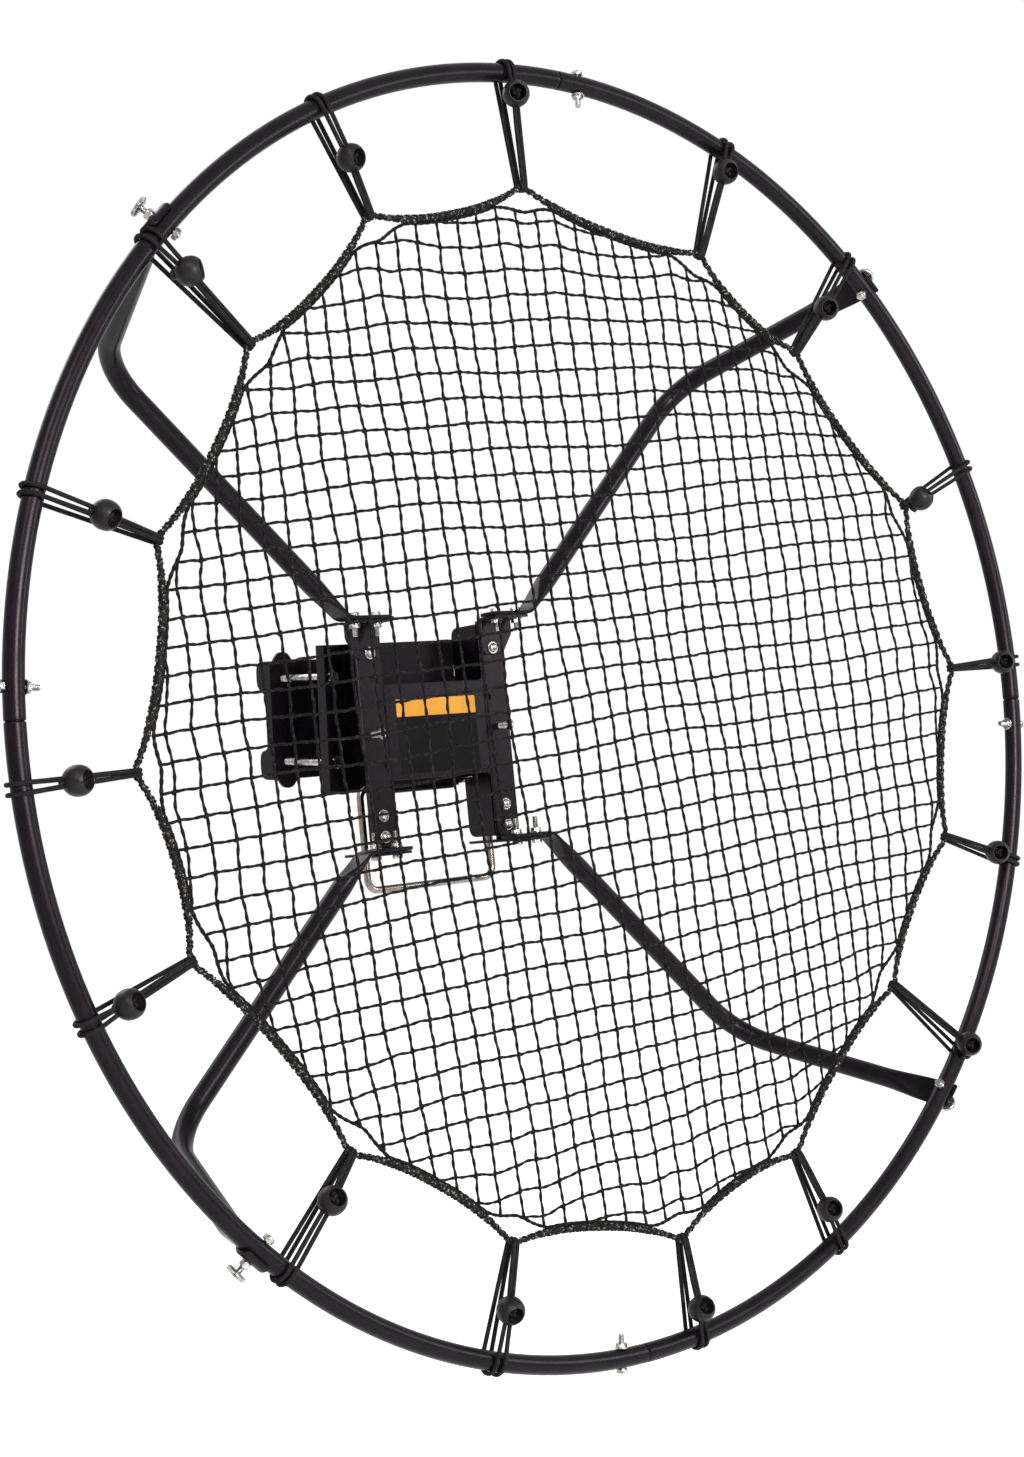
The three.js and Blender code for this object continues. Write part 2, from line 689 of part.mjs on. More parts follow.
function frontFrame() {
  const back = -frameFace + framePlate;
  const h = outline([
    [-frameOuterHalfWidth, -frameBottom, plateCornerRadius],
    [-frameInnerHalfWidth, -frameBottom],
    [-frameInnerHalfWidth, -crossBottom],
    [frameInnerHalfWidth, -crossBottom],
    [frameInnerHalfWidth, -frameBottom],
    [frameOuterHalfWidth, -frameBottom, plateCornerRadius],
    [frameOuterHalfWidth, frameTop, plateCornerRadius],
    [frameInnerHalfWidth, frameTop],
    [frameInnerHalfWidth, crossTop],
    [-frameInnerHalfWidth, crossTop],
    [-frameInnerHalfWidth, frameTop],
    [-frameOuterHalfWidth, frameTop, plateCornerRadius],
  ]);
  const flange = outline([
    [-frameFace, -frameBottom],
    [flangeBack, -frameBottom, flangeCornerRadius],
    [flangeBack, flangeTop, flangeCornerRadius],
    [-frameFace, flangeTop],
  ]);
  const inner = frameInnerHalfWidth;
  const outer = frameInnerHalfWidth + framePlate;
  const bodies = [
    facingPlate(h, -frameFace, back),
    sidePlate(flange, inner, outer),
    sidePlate(flange, -outer, -inner),
  ];
  for (const side of [-1, 1]) {
    const stud = new THREE.Vector3(side * studX, 0, 0);
    const headStart = -frameFace - studLength;
    bodies.push(turned(stud, yAxis, [
      [headStart - studHeadHeight, hexRadius(studHeadAcross)],
      [headStart, hexRadius(studHeadAcross)],
      [headStart, studRadius],
      [back, studRadius],
    ], hexSides));
  }
  const holes = [];
  const through = (x, z, radius) => holes.push(rod(
    new THREE.Vector3(x, -frameFace - overrun, z), new THREE.Vector3(x, back + overrun, z), radius,
  ));
  for (const side of [-1, 1]) {
    for (const z of [-frameHoleZ, frameHoleZ]) through(side * frameHoleX, z, frameHoleRadius);
    for (const z of [...clipBoltHeights(1), ...clipBoltHeights(-1)]) {
      through(side * clipBoltX, z, holeRadius(clipBoltRadius, gap, boltSides));
    }
    const from = new THREE.Vector3(side * (inner - overrun), 0, 0);
    const to = new THREE.Vector3(side * (outer + overrun), 0, 0);
    holes.push(rod(from, to, holeRadius(pivotBoltRadius, turningGap, boltSides), boltSides));
    holes.push(pinSlot(side, inner - overrun, outer + overrun));
  }
  return geometryOf(cut(joined(bodies), holes));
}

// The slot in a side flange in which a lock pin slides
function pinSlot(side, inner, outer) {
  const half = lockPinRadius + gap;
  const shape = new THREE.Shape();
  shape.absarc(lockRodBack, -lockPinDrop, half, Math.PI, 2 * Math.PI, false);
  shape.absarc(lockRodBack, -lockPinDrop + lockTravel, half, 0, Math.PI, false);
  shape.closePath();
  return side > 0 ? sidePlate(shape, inner, outer) : sidePlate(shape, -outer, -inner);
}

// Clip bolts pass the front frame's leg and hold what lies between a front and a back face
function clipBolts(sideX, sideZ, front, back) {
  const headBack = front - clipWasherHeight;
  return clipBoltHeights(sideZ).map((z) => turned(new THREE.Vector3(sideX * clipBoltX, 0, z), yAxis, [
    [headBack - domeHeight, domeRadius],
    [headBack, domeRadius],
    [headBack, clipWasherRadius],
    [front, clipWasherRadius],
    [front, clipBoltRadius],
    [back, clipBoltRadius],
    [back, smallNutAcross / 2],
    [back + smallNutHeight, smallNutAcross / 2],
  ], boltSides));
}

function mirroredOutline(points, sideX) {
  const flipped = points.map(([x, z, radius]) => [sideX * x, z, radius]);
  return outline(sideX > 0 ? flipped : flipped.reverse());
}

function upperClip(sideX) {
  const back = -frameFace - gap;
  const front = back - clipPlate;
  const bottom = tabTop - clipUpperHeight;
  const shoulder = bottom + clipShoulderRise;
  const wall = mirroredOutline([
    [clipEdge, bottom, plateCornerRadius],
    [clipFoot, bottom],
    [clipShoulder, shoulder],
    [clipShoulder, tabTop],
    [clipEdge, tabTop],
  ], sideX);
  const tab = mirroredOutline([
    [clipEdge, -tabForward, plateCornerRadius],
    [tabEnd, -tabForward, plateCornerRadius],
    [tabEnd, front, plateCornerRadius],
    [clipShoulder, back],
    [clipEdge, back],
  ], sideX);
  const frameBack = -frameFace + framePlate + gap;
  const bodies = [
    facingPlate(wall, front, back),
    levelPlate(tab, tabTop - clipPlate, tabTop),
    ...clipBolts(sideX, 1, front, frameBack),
  ];
  return geometryOf(cut(joined(bodies), tabHoles(sideX, tabTop - clipPlate, tabTop)));
}

function tabHoles(sideX, bottom, top) {
  return [armBoltInner, armBoltOuter].map((x) => rod(
    new THREE.Vector3(sideX * x, -armFaceY, bottom - overrun),
    new THREE.Vector3(sideX * x, -armFaceY, top + overrun),
    holeRadius(smallBoltRadius, gap, hexSides),
    hexSides,
  ));
}

function lowerClip(sideX) {
  const front = -frameFace + framePlate + gap;
  const back = front + clipPlate;
  const top = -clipLowerTop;
  const bottom = top - clipPlate;
  const wall = mirroredOutline([
    [clipEdge, bottom],
    [frameOuterHalfWidth, bottom],
    [frameOuterHalfWidth, bottom + clipLowerHeight, plateCornerRadius],
    [clipEdge, bottom + clipLowerHeight, plateCornerRadius],
  ], sideX);
  const tab = mirroredOutline([
    [clipEdge, -tabForward, plateCornerRadius],
    [tabEnd, -tabForward, plateCornerRadius],
    [tabEnd, -frameFace, plateCornerRadius],
    [frameOuterHalfWidth, back],
    [frameOuterHalfWidth, clipGuideBack, plateCornerRadius],
    [clipEdge, clipGuideBack, plateCornerRadius],
  ], sideX);
  const bodies = [
    facingPlate(wall, front, back),
    levelPlate(tab, bottom, top),
    ...clipBolts(sideX, -1, -frameFace - gap, back),
  ];
  const guide = rod(
    new THREE.Vector3(sideX * lockRodHalfWidth, lockRodBack, bottom - overrun),
    new THREE.Vector3(sideX * lockRodHalfWidth, lockRodBack, top + overrun),
    holeRadius(lockRodRadius, gap, boltSides),
  );
  return geometryOf(cut(joined(bodies), [...tabHoles(sideX, bottom, top), guide]));
}

// A station of the lock rod, where the bar runs square to a direction at an angle from +X
function rodStation(x, z, angle, radius) {
  return {
    at: new THREE.Vector3(x, lockRodBack, z),
    across: yAxis,
    along: new THREE.Vector3(Math.cos(angle), 0, Math.sin(angle)),
    halfAcross: radius,
    halfAlong: radius,
  };
}

// A bend of the lock rod round a centre, a quarter turn on from an angle
function rodBend(x, z, from) {
  return Array.from({ length: bendSteps + 1 }, (_, i) => {
    const a = from + (quarterTurn * i) / bendSteps;
    return rodStation(x + lockRodBend * Math.cos(a), z + lockRodBend * Math.sin(a), a, lockRodRadius);
  });
}

// The lock rod: a U of round bar whose ends turn inward as two thinner pins
function lockRod() {
  const pinEnd = bracketHalfWidth - clampPlate - lockPinReach;
  const shoulder = frameInnerHalfWidth + framePlate + gap;
  const side = lockRodHalfWidth - lockRodBend;
  const low = lockRodBend - lockRodDrop;
  const high = -lockPinDrop - lockRodBend;
  const stations = [
    rodStation(-pinEnd, -lockPinDrop, quarterTurn, lockPinRadius),
    rodStation(-shoulder, -lockPinDrop, quarterTurn, lockPinRadius),
    rodStation(-shoulder, -lockPinDrop, quarterTurn, lockRodRadius),
    ...rodBend(-side, high, quarterTurn),
    ...rodBend(-side, low, 2 * quarterTurn),
    ...rodBend(side, low, 3 * quarterTurn),
    ...rodBend(side, high, 4 * quarterTurn),
    rodStation(shoulder, -lockPinDrop, 5 * quarterTurn, lockRodRadius),
    rodStation(shoulder, -lockPinDrop, 5 * quarterTurn, lockPinRadius),
    rodStation(pinEnd, -lockPinDrop, 5 * quarterTurn, lockPinRadius),
  ];
  return bar(stations.map((station) => ring(station, ropeSides)));
}

function poleBracket() {
  const inner = bracketHalfWidth - clampPlate;
  const lip = earHalfWidth - clampPlate;
  const section = outline([
    [-earHalfWidth, earBack - earLip],
    [-lip, earBack - earLip],
    [-lip, earBack - clampPlate],
    [-bracketHalfWidth, earBack - clampPlate],
    [-bracketHalfWidth, -webForward],
    [bracketHalfWidth, -webForward],
    [bracketHalfWidth, earBack - clampPlate],
    [lip, earBack - clampPlate],
    [lip, earBack - earLip],
    [earHalfWidth, earBack - earLip],
    [earHalfWidth, earBack],
    [inner, earBack],
    [inner, 0],
    [-inner, 0],
    [-inner, earBack],
    [-earHalfWidth, earBack],
  ]);
  const channel = new THREE.Path();
  channel.moveTo(-inner, clampPlate - webForward);
  channel.lineTo(inner, clampPlate - webForward);
  channel.lineTo(inner, -clampPlate);
  channel.lineTo(-inner, -clampPlate);
  channel.closePath();
  section.holes.push(channel);
  const lipEnd = (side) => new THREE.Vector3(side * rolledLipHalfLength, -webForward, -bracketHalfHeight);
  const cheek = cheekOutline();
  const bodies = [
    levelPlate(section, -bracketHalfHeight, bracketHalfHeight),
    rod(lipEnd(-1), lipEnd(1), rolledLipRadius),
    sidePlate(cheek, inner, bracketHalfWidth),
    sidePlate(cheek, -bracketHalfWidth, -inner),
  ];
  const holes = [];
  for (const side of [-1, 1]) {
    for (const z of [-clampBoltSpreadZ, clampBoltSpreadZ]) {
      const from = new THREE.Vector3(side * clampBoltSpreadX, earBack - clampPlate - overrun, z);
      const to = new THREE.Vector3(side * clampBoltSpreadX, earBack + overrun, z);
      holes.push(rod(from, to, holeRadius(clampBoltRadius, gap, boltSides)));
    }
    const from = new THREE.Vector3(side * (inner - overrun), -pivotForward, -pivotDrop);
    const to = new THREE.Vector3(side * (bracketHalfWidth + overrun), -pivotForward, -pivotDrop);
    holes.push(rod(from, to, holeRadius(pivotBoltRadius, gap, boltSides), boltSides));
    for (const step of [-1, 0, 1]) holes.push(lockNotch(side, restTilt + step * lockStep));
  }
  return geometryOf(cut(joined(bodies), holes));
}

// A cheek carries the pivot in its nose and the notched lock sector below it
function cheekOutline() {
  const onCircle = (radius, angle) => [
    -pivotForward + radius * Math.cos(angle),
    -pivotDrop + radius * Math.sin(angle),
  ];
  const shape = new THREE.Shape();
  const wall = clampPlate - webForward;
  shape.moveTo(wall, cheekTop);
  shape.lineTo(...onCircle(cheekNoseRadius, cheekNoseStart));
  shape.absarc(-pivotForward, -pivotDrop, cheekNoseRadius, cheekNoseStart, cheekNoseEnd, false);
  shape.lineTo(...onCircle(lockSectorRadius, lockSectorStart));
  shape.absarc(-pivotForward, -pivotDrop, lockSectorRadius, lockSectorStart, lockSectorEnd, false);
  shape.lineTo(wall, -cheekFoot);
  shape.closePath();
  return shape;
}

// A downward notch that takes a lock pin when the frame stands at the given tilt
function lockNotch(side, tilt) {
  const half = lockPinRadius + gap;
  const seat = -lockPinDrop + lockTravel;
  const shape = new THREE.Shape();
  shape.absarc(lockRodBack, seat, half, 0, Math.PI, false);
  shape.lineTo(lockRodBack - half, -lockSectorRadius - overrun - half);
  shape.lineTo(lockRodBack + half, -lockSectorRadius - overrun - half);
  shape.closePath();
  const inner = bracketHalfWidth - clampPlate - overrun;
  const outer = bracketHalfWidth + overrun;
  const body = side > 0 ? sidePlate(shape, inner, outer) : sidePlate(shape, -outer, -inner);
  return body.rotate([-tilt / degree, 0, 0]).translate([0, -pivotForward, -pivotDrop]);
}

function rearJaw() {
  const front = poleWidth + gap;
  const back = front + clampPlate;
  const half = earHalfWidth + clampPlate / 2;
  const lobeTop = jawHalfHeight + lobeRise;
  const edge = (sign) => [
    [-half, sign * jawHalfHeight],
    [-clampBoltSpreadX - lobeHalfWidth, sign * jawHalfHeight],
    [-clampBoltSpreadX - lobeHalfWidth / 2, sign * lobeTop, plateCornerRadius],
    [-clampBoltSpreadX + lobeHalfWidth / 2, sign * lobeTop, plateCornerRadius],
    [-clampBoltSpreadX + lobeHalfWidth, sign * jawHalfHeight],
    [clampBoltSpreadX - lobeHalfWidth, sign * jawHalfHeight],
    [clampBoltSpreadX - lobeHalfWidth / 2, sign * lobeTop, plateCornerRadius],
    [clampBoltSpreadX + lobeHalfWidth / 2, sign * lobeTop, plateCornerRadius],
    [clampBoltSpreadX + lobeHalfWidth, sign * jawHalfHeight],
    [half, sign * jawHalfHeight],
  ];
  const plate = outline([...edge(-1), ...edge(1).reverse()]);
  const side = outline([
    [front, -jawHalfHeight],
    [front + jawFlangeDepth, -jawHalfHeight, flangeCornerRadius],
    [front + jawFlangeDepth, -jawHalfHeight / 2, flangeCornerRadius],
    [front + jawWaistDepth, -jawHalfHeight / 2, plateCornerRadius],
    [front + jawWaistDepth, jawHalfHeight / 2, plateCornerRadius],
    [front + jawFlangeDepth, jawHalfHeight / 2, flangeCornerRadius],
    [front + jawFlangeDepth, jawHalfHeight, flangeCornerRadius],
    [front, jawHalfHeight],
  ]);
  const bodies = [
    facingPlate(plate, front, back),
    sidePlate(side, half - clampPlate, half),
    sidePlate(side, -half, clampPlate - half),
  ];
  const holes = [];
  for (const x of [-clampBoltSpreadX, clampBoltSpreadX]) {
    for (const z of [-clampBoltSpreadZ, clampBoltSpreadZ]) {
      const from = new THREE.Vector3(x, front - overrun, z);
      const to = new THREE.Vector3(x, back + overrun, z);
      holes.push(rod(from, to, holeRadius(clampBoltRadius, gap, boltSides)));
    }
  }
  return geometryOf(cut(joined(bodies), holes));
}

function clampBolt(sideX, sideZ) {
  const origin = new THREE.Vector3(sideX * clampBoltSpreadX, 0, sideZ * clampBoltSpreadZ);
  const headSeat = earBack - clampPlate - gap;
  const nutSeat = poleWidth + gap + clampPlate + gap;
  const nutEnd = nutSeat + clampNutHeight;
  return geometryOf(turned(origin, yAxis, [
    [headSeat - clampHeadHeight, hexRadius(clampHeadAcross)],
    [headSeat, hexRadius(clampHeadAcross)],
    [headSeat, clampBoltRadius],
    [nutSeat, clampBoltRadius],
    [nutSeat, hexRadius(clampHeadAcross)],
    [nutEnd, hexRadius(clampHeadAcross)],
    [nutEnd, clampBoltRadius],
    [nutEnd + clampBoltTail, clampBoltRadius],
  ], hexSides));
}

// A pivot bolt: head outside the flange, a spacer in the gap to the cheek, and a nut inside
function pivotBolt(side) {
  const origin = new THREE.Vector3(0, -pivotForward, -pivotDrop);
  const axis = new THREE.Vector3(side, 0, 0);
  const nutSeat = bracketHalfWidth - clampPlate - gap;
  const nutEnd = nutSeat - pivotNutHeight;
  const flangeOuter = frameInnerHalfWidth + framePlate + gap;
  const spacer = [bracketHalfWidth + gap, frameInnerHalfWidth - gap];
  return geometryOf(turned(origin, axis, [
    [nutEnd - pivotTail, pivotBoltRadius],
    [nutEnd, pivotBoltRadius],
    [nutEnd, pivotHeadRadius],
    [nutSeat, pivotHeadRadius],
    [nutSeat, pivotBoltRadius],
    [spacer[0], pivotBoltRadius],
    [spacer[0], pivotHeadRadius],
    [spacer[1], pivotHeadRadius],
    [spacer[1], pivotBoltRadius],
    [flangeOuter, pivotBoltRadius],
    [flangeOuter, pivotHeadRadius],
    [flangeOuter + pivotHeadHeight, pivotHeadRadius],
  ], boltSides));
}

// The angle of a cord, which goes on past a full turn for the one after the last
function cordAngle(i) {
  const turns = Math.floor(i / cordAngles.length);
  return cordAngles[i % cordAngles.length] * degree + turns * 2 * Math.PI;
}

// Radius of the net's edge at an angle: scallops that bow inward from the line between two corners
function edgeRadius(angle) {
  const turn = 2 * Math.PI;
  const base = cordAngle(0);
  const a = base + ((((angle - base) % turn) + turn) % turn);
  let i = 0;
  while (i + 1 < cordAngles.length && cordAngle(i + 1) <= a) i += 1;
  const start = cordAngle(i);
  const end = cordAngle(i + 1);
  const near = cornerRadius(i);
  const far = cornerRadius(i + 1);
  const share = (a - start) / (end - start);
  const spread = near * Math.sin(a - start) + far * Math.sin(end - a);
  const line = (near * far * Math.sin(end - start)) / spread;
  return line - scallopDepth * 4 * share * (1 - share);
}

function borderRope() {
  const stations = [];
  for (let i = 0; i < cordAngles.length; i++) {
    for (let s = 0; s < scallopSteps; s++) {
      const share = s / scallopSteps;
      const angle = cordAngle(i) + (cordAngle(i + 1) - cordAngle(i)) * share;
      stations.push(angle);
    }
  }
  const rings = stations.map((angle) => ring({
    at: radial(angle).multiplyScalar(edgeRadius(angle)),
    across: radial(angle),
    along: yAxis,
    halfAcross: ropeRadius,
    halfAlong: ropeRadius,
  }, ropeSides));
  rings.push(rings[0]);
  const faces = [];
  ribbon(rings.length, 0, ropeSides, faces);
  return solid(closedGeometry(rings.flat(), faces));
}

// Where a straight twine at a given offset meets the edge, found by halving
function reach(offset, vertical, sign) {
  let low = 0;
  let high = hoopRadius;
  for (let i = 0; i < halvings; i++) {
    const mid = (low + high) / 2;
    const x = vertical ? offset : sign * mid;
    const z = vertical ? sign * mid : offset;
    if (Math.hypot(x, z) < edgeRadius(Math.atan2(x, z) - netLie)) low = mid;
    else high = mid;
  }
  return sign * low;
}

// The small eye in the mesh at each corner, where an elastic cord goes round the rope
function cornerEye(i) {
  const centre = radial(cordAngle(i)).multiplyScalar(cornerRadius(i) - cornerEyeRadius);
  const from = centre.clone().addScaledVector(yAxis, -cornerEyeRadius);
  const to = centre.clone().addScaledVector(yAxis, cornerEyeRadius);
  return rod(from, to, cornerEyeRadius);
}

function net() {
  const bodies = [];
  const count = Math.floor((hoopRadius * Math.min(...cornerShares)) / netPitch);
  for (let i = -count; i < count; i++) {
    const offset = (i + 0.5) * netPitch;
    for (const vertical of [false, true]) {
      const low = reach(offset, vertical, -1);
      const high = reach(offset, vertical, 1);
      const sizes = vertical ? [netTwine, netTwine, high - low] : [high - low, netTwine, netTwine];
      const geometry = new THREE.BoxGeometry(...sizes);
      const mid = (low + high) / 2;
      if (vertical) geometry.translate(offset, 0, mid);
      else geometry.translate(mid, 0, offset);
      bodies.push(solid(geometry));
    }
  }
  const twines = joined(bodies).rotate([0, -netLie / degree, 0]);
  const mesh = cut(twines, cordAngles.map((_, i) => cornerEye(i)));
  return geometryOf(mesh.add(borderRope()).translate([0, -hoopReach, 0]));
}

// How far a ball's middle lies in front of the hoop's: clear of the tube where it is close to it
function ballDepth(ball) {
  const clear = hoopTubeRadius + gap + ballRadius;
  const inward = hoopRadius - ball;
  return Math.max(ballForward, Math.sqrt(Math.max(0, clear * clear - inward * inward)));
}

// The middle line of one elastic cord, in outward, along-hoop and Y parts: from the ball down
// the front to the net's corner, round the rope, up the back, one and a half turns round the
// hoop, and back to the ball
function cordPath(hoopMiddle, corner, ball) {
  const wrapSteps = Math.round(wrapTurns * wrapStepsPerTurn);
  const coilRadius = (hoopTubeRadius + cordSpacing + cordRadius) / Math.cos(Math.PI / wrapStepsPerTurn);
  const cordHalf = cordRadius * Math.cos(Math.PI / cordSides);
  const bightRadius = (ropeRadius + gap + cordHalf) / Math.cos(quarterTurn / bightSteps);
  const spread = 2 * cordRadius + cordSpacing;
  const path = [[ball, 0, -ballDepth(ball)]];
  for (let i = 0; i <= bightSteps; i++) {
    const a = (Math.PI * i) / bightSteps;
    path.push([corner - bightRadius * Math.sin(a), 0, -bightRadius * Math.cos(a)]);
  }
  for (let i = 0; i <= wrapSteps; i++) {
    const turns = (wrapTurns * i) / wrapSteps;
    const a = turns * 2 * Math.PI;
    path.push([hoopMiddle + coilRadius * Math.sin(a), turns * spread, coilRadius * Math.cos(a)]);
  }
  path.push([ball + ballRadius / 2, spread, -ballDepth(ball)]);
  return path.map(([outward, along, y]) => new THREE.Vector3(outward, along, y));
}

// Rings along a path, with the section carried from step to step without twist
function ringsAlong(path, radius, sides) {
  const tangents = path.map((point, i) => {
    const before = path[Math.max(i - 1, 0)];
    const after = path[Math.min(i + 1, path.length - 1)];
    return new THREE.Vector3().subVectors(after, before).normalize();
  });
  let across = new THREE.Vector3(0, 1, 0);
  return path.map((point, i) => {
    across = across.addScaledVector(tangents[i], -across.dot(tangents[i])).normalize();
    const along = new THREE.Vector3().crossVectors(tangents[i], across);
    return ring({ at: point, across: across.clone(), along, halfAcross: radius, halfAlong: radius }, sides);
  });
}

function elasticCord(i) {
  const angle = cordAngle(i);
  const frame = hoopFrame(angle);
  const ball = ballCentreRadius(i);
  const path = cordPath(frame.at.dot(radial(angle)), cornerRadius(i), ball);
  const cord = solid(bar(ringsAlong(path, cordRadius, cordSides)));
  const sphere = new THREE.SphereGeometry(ballRadius, ropeSides, ballRows);
  sphere.rotateZ(quarterTurn);
  sphere.translate(ball, 0, -ballDepth(ball));
  const geometry = geometryOf(cord.add(solid(sphere)));
  const basis = new THREE.Matrix4().makeBasis(radial(angle), alongHoop(angle), yAxis.clone());
  geometry.applyMatrix4(basis);
  geometry.translate(0, -hoopReach, 0);
  return geometry;
}

const returnNet = new THREE.Group();
const tiltingFrame = new THREE.Group();
tiltingFrame.position.set(0, -pivotForward, -pivotDrop);
tiltingFrame.rotation.x = -restTilt;
returnNet.add(tiltingFrame);

function add(group, name, geometry, material) {
  const mesh = new THREE.Mesh(geometry, material);
  mesh.name = name;
  group.add(mesh);
}

add(returnNet, 'pole_bracket', poleBracket(), powderCoat);
add(returnNet, 'rear_jaw', rearJaw(), powderCoat);
const corners = [
  ['upper_right', 1, 1],
  ['lower_right', 1, -1],
  ['lower_left', -1, -1],
  ['upper_left', -1, 1],
];
for (const [name, sideX, sideZ] of corners) {
  add(returnNet, `clamp_bolt_${name}`, clampBolt(sideX, sideZ), zinc);
}
add(returnNet, 'pivot_bolt_left', pivotBolt(-1), zinc);
add(returnNet, 'pivot_bolt_right', pivotBolt(1), zinc);

add(tiltingFrame, 'front_frame', frontFrame(), powderCoat);
add(tiltingFrame, 'lock_rod', lockRod(), nickel);
corners.forEach(([name, sideX, sideZ], k) => {
  add(tiltingFrame, `clip_${name}`, sideZ > 0 ? upperClip(sideX) : lowerClip(sideX), powderCoat);
  add(tiltingFrame, `arm_${name}`, arm(sideX, sideZ, k), powderCoat);
  add(tiltingFrame, `arm_bolt_${name}_inner`, armBolt(sideX, sideZ, armBoltInner), zinc);
  add(tiltingFrame, `arm_bolt_${name}_outer`, armBolt(sideX, sideZ, armBoltOuter), zinc);
  add(tiltingFrame, `hoop_tube_${name}`, hoopTube(k), powderCoat);
  add(tiltingFrame, `hoop_bolt_${k + 1}`, hoopBolt(k), zinc);
  add(tiltingFrame, `thumb_screw_${name}`, thumbScrew(k), zinc);
  add(tiltingFrame, `thumb_nut_${name}`, thumbNut(k), zinc);
});
add(tiltingFrame, 'net', net(), twine);
cordAngles.forEach((_, i) => {
  const number = String(i + 1).padStart(2, '0');
  add(tiltingFrame, `elastic_cord_${number}`, elasticCord(i), elastic);
});

export default returnNet;
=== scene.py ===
"""The looks of a round ball-return net on a pole clamp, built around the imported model.

Lengths are in millimetres until a piece is made, and the tilting frame's pieces are drawn in
the frame's own place, upright, before they are turned to its rest tilt.
"""

import json
from collections import namedtuple
from math import atan2, cos, pi, sin, sqrt, tan

import bmesh
import bpy
import numpy as np
from mathutils import Matrix, Vector


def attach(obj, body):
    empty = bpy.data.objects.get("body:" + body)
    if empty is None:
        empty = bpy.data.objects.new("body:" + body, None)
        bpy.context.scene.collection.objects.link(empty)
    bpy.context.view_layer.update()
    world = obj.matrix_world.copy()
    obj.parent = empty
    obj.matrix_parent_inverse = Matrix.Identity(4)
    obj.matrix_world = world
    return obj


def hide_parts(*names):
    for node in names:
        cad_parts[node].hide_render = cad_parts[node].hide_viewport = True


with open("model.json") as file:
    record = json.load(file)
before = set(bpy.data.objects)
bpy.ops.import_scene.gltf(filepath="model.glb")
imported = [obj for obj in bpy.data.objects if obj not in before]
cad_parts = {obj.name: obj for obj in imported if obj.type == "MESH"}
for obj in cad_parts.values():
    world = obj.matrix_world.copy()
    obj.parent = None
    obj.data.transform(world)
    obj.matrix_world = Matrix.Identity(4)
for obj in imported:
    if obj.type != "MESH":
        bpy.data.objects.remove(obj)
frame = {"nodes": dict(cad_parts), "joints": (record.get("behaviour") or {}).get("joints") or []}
scene = bpy.context.scene
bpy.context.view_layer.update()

MILLIMETRE = 0.001
TURN = 2 * pi
QUARTER = pi / 2
DEGREE = pi / 180
X, Y, Z = np.eye(3)
CORNERS = {"upper_right": (1, 1), "lower_right": (1, -1), "lower_left": (-1, -1), "upper_left": (-1, 1)}

# The model's own joints give the tilt, the pivot and the thumb screws' places
JOINTS = {joint["name"]: joint for joint in frame["joints"]}
PIVOT = np.array(JOINTS["frame_tilt"]["pos_m"]) / MILLIMETRE
TILT = atan2(*JOINTS["lock_rod_slide"]["axis"][1:])

# Clearance, and what all bolts and plates share
GAP = 0.3
OVERLAP = 0.5
WELD = 0.02
THREAD_PITCH = 1.25
HEX_CHAMFER = 0.5
HEX_FACE_SHARE = 0.97
WASHER_RADIUS = 6.8
WASHER_HEIGHT = 1.2
PLATE_EDGE = 0.45
NODE_EDGE = 0.0007

# Clamp and pivot
POLE_WIDTH = 101.6
CLAMP_PLATE = 3
BRACKET_HALF_WIDTH = 64
EAR_BACK = 10
CLAMP_BOLT_X = 84
CLAMP_BOLT_Z = 47
CLAMP_BOLT_RADIUS = 4
CLAMP_HEX = 13
CLAMP_CHAMFER = 0.8
CLAMP_HEAD = 5.3
CLAMP_NUT = 6.5
CLAMP_TAIL = 14
CLAMP_THREAD = 22
CLAMP_WASHER_RADIUS = 8
PIVOT_RADIUS = 4
PIVOT_HEAD_RADIUS = 7.5
PIVOT_HEAD = 5
PIVOT_TAIL = 3

# Front frame, clips, lock rod and label
FRAME_INNER = 67
FRAME_OUTER = 100.5
FRAME_TOP = 118
FRAME_BOTTOM = 122
FRAME_FACE = 19.5
FRAME_PLATE = 3
CROSS_TOP = 53
CROSS_BOTTOM = 51
FLANGE_BACK = 29
FLANGE_TOP = 115
FLANGE_CORNER = 12
PLATE_CORNER = 6
SMALL_CORNER = 3
HOLE_RADIUS = 3.25
HOLE_X = 75
HOLE_Z = 33
PLUG_RADIUS = HOLE_RADIUS + 1.2
PLUG_THICKNESS = 0.8
STUD_X = 87.5
STUD_RADIUS = 3.8
STUD_LENGTH = 13
STUD_HEAD = 9.5
STUD_HEAD_RISE = 6.9
STUD_HEAD_HALF_WIDTH = 2.4
CLIP_PLATE = 3
CLIP_EDGE = 71
CLIP_FOOT = 98.4
CLIP_SHOULDER = 113.3
CLIP_SHOULDER_RISE = 22.5
CLIP_UPPER_HEIGHT = 41
CLIP_LOWER_HEIGHT = 49
CLIP_GUIDE_BACK = 40
CLIP_BOLT_X = 84
CLIP_BOLT_LOW = 7
CLIP_BOLT_PITCH = 23
DOME_RADIUS = 5.2
DOME_HEIGHT = 3.4
TAB_END = 119
TAB_TOP = 121.5
TAB_FORWARD = 51
TAB_SLOPE = 8
BEND_RADIUS = 1.5
LOCK_ROD_RADIUS = 4
LOCK_PIN_RADIUS = 3
LOCK_ROD_X = 86
LOCK_ROD_BACK = 18
LOCK_ROD_DROP = 167.5
LOCK_ROD_BEND = 12
LOCK_ROD_TRAVEL = 12
LOCK_PIN_DROP = 56
LOCK_PIN_END = 56
LOCK_PIN_EDGE = 0.8
